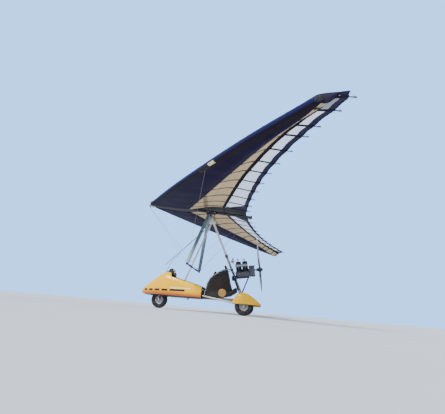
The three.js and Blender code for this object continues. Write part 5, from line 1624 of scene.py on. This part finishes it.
BOTTLE_AT = mast_at(1080) + [-0.075, 0.03, 0]
BOTTLE = plain("bottle_plastic", "white_paint", lambda p: p.noise(14, 3).past(0.5, 0.4), rgb(232, 230, 218),
               rgb(206, 204, 190), (12, 3, 0.1, 0.3))
for part, rows, sides, look in (
        ("overflow_bottle", [(0, 0), (26, 0), (31, 6), (31, 72), (26, 84), (14, 90), (14, 94), (0, 94)], 36, BOTTLE),
        ("bottle_lid", [(0, 112), (14, 112), (17, 108), (17, 92), (0, 92)], 30, BLACK_PLASTIC)):
    put(part, turned(rows, BOTTLE_AT, UP, sides), look)
arm = soft_block((20, -24, 22), (66, -8, 32), lambda x, y, z: BOTTLE_AT + columns(x, y, z) / 1000)
put("bottle_bracket", [arm, turned([(31.2, 28), (34, 28), (34, 42), (31.2, 42)], BOTTLE_AT, UP, 36)], DARK_ALLOY)
print("engine made")

# %% [markdown]
# The blades are lofted from seven sections. Between the rows, chord, thickness and pitch are eased, and
# the section is a real aerofoil: round in front, thickest at a third of the chord, thin behind.

# %% Propeller
SHAFT_X, SHAFT_Z = -376, 133
HUB = bay(SHAFT_X, 0, SHAFT_Z)
BLADE_ROWS = [(40, 42, 34, 44), (100, 66, 24, 38), (200, 98, 17, 30), (400, 104, 13, 21), (600, 84, 9, 15),
              (700, 56, 6, 12), (730, 26, 4, 11)]


def blade(angle):
    r = np.r_[np.linspace(30, 700, 46), np.linspace(706, 729, 9)][:, None]
    chord, thick, pitch = (eased(BLADE_ROWS, r, column) for column in (1, 2, 3))
    turn, t, foil = np.radians(pitch), angles(40), np.clip((r - 60) / 130, 0, 1)
    along = chord / 2 * np.cos(t)
    across = thick / 2 * np.sin(t) * (1 + foil * 0.45 * np.cos(t)) + foil * thick * 0.12 * (1 - np.cos(t) ** 2)
    y = along * np.cos(turn) - across * np.sin(turn)
    c, s = math.cos(angle), math.sin(angle)
    return lofted(bay(SHAFT_X + along * np.sin(turn) + across * np.cos(turn), y * c - r * s, SHAFT_Z + y * s + r * c))


def blade_finish(p):
    """Dark gel with a pale tip and the marks of insects; the tip is found by its distance from the hub."""
    from_hub = p.node("VectorMath", {0: p.place(), 1: tuple(HUB)}, output=1, operation="DISTANCE")
    grain = p.noise(22, 4, (1, 4, 1))
    gel = grain.past(0.5, 0.7).mix(rgb(44, 45, 48), rgb(66, 67, 70))
    tone = from_hub.past(0.645, 0.003).mix(gel, rgb(196, 198, 200))
    bugs = p.noise(120, 1).past(0.68, 0.03) * 0.5
    return {"Base Color": bugs.mix(tone, rgb(110, 104, 92)), "Roughness": grain * 0.16 + 0.24,
            "Normal": p.bump(grain, 0.0003, 0.3)}


BLADE_GREY = finish("blade_gel", blade_finish, "blade_grey", Coat_Weight=0.35)
for number in (1, 2, 3):
    put(f"blade_{number}", blade(math.radians(120 * number - 110)), BLADE_GREY,
        f"propeller_blade_{number}", "propeller")
hub_rows = [(0, 142), (14.8, 142), (14.8, 71), (32, 70), (34, 66), (34, 28), (46, 26), (48, 23), (48, -23), (46, -26),
            (34, -27), (33.5, -34), (32.5, -40), (26, -56), (16, -66), (6, -69.5), (0, -70)]
put("hub_body", turned(hub_rows, HUB, BAY_AHEAD, 60), DARK_ALLOY, "propeller_hub", "propeller", sharp=32)
bolts("hub_bolts", [(HUB + 0.041 * (math.cos(t) * PORT + math.sin(t) * BAY_UP), BAY_AHEAD, 3.5, 56)
                    for t in angles(6) + 0.7], "", "propeller")
print("propeller made")

# %% [markdown]
# ## Room and light
# A plain pale floor that runs out of sight under an even, pale sky-coloured room. One broad lamp stands for
# the key light, ahead, above and to port; a weak second one from behind draws the edges of the tubes.

# %% Floor and lights
REACH = 900
floor_mesh = bpy.data.meshes.new("floor")
floor_mesh.from_pydata([(x * REACH, y * REACH, 0) for x, y in ((-1, -1), (1, -1), (1, 1), (-1, 1))], [], [(0, 1, 2, 3)])
floor_mesh.materials.append(plain("floor_paint", None, lambda p: p.noise(0.7, 4), rgb(212, 222, 238),
                                  rgb(202, 213, 230), (5, 3, 0.2, 0.7)))
added("floor", floor_mesh)

world = bpy.data.worlds.new("room")
world.use_nodes = True
seen = Shade(world.node_tree, world.node_tree.nodes.new("ShaderNodeLightPath").outputs["Is Camera Ray"])
room = world.node_tree.nodes["Background"].inputs
world.node_tree.links.new(seen.mix(rgb(200, 206, 222), rgb(138, 188, 255)).socket, room["Color"])
world.node_tree.links.new((seen * 1.75 + 1.0).socket, room["Strength"])
bpy.context.scene.world = world


def soft_light(name, way, strength, spread, color):
    """A lamp so far off that its light is even; spread is how wide it looks, in degrees, and way is the
    direction in which its light travels."""
    stand = added(name, bpy.data.lights.new(name, "SUN"))
    stand.data.energy, stand.data.angle, stand.data.color = strength, math.radians(spread), color
    stand.location = (0, 0, 8)
    stand.rotation_euler = Vector(way).to_track_quat("-Z", "Y").to_euler()


soft_light("key", (-0.30, -0.62, -0.72), 4.6, 20, (1.0, 0.96, 0.88))
soft_light("rim", (0.55, 0.75, -0.5), 0.7, 30, (0.90, 0.95, 1.0))
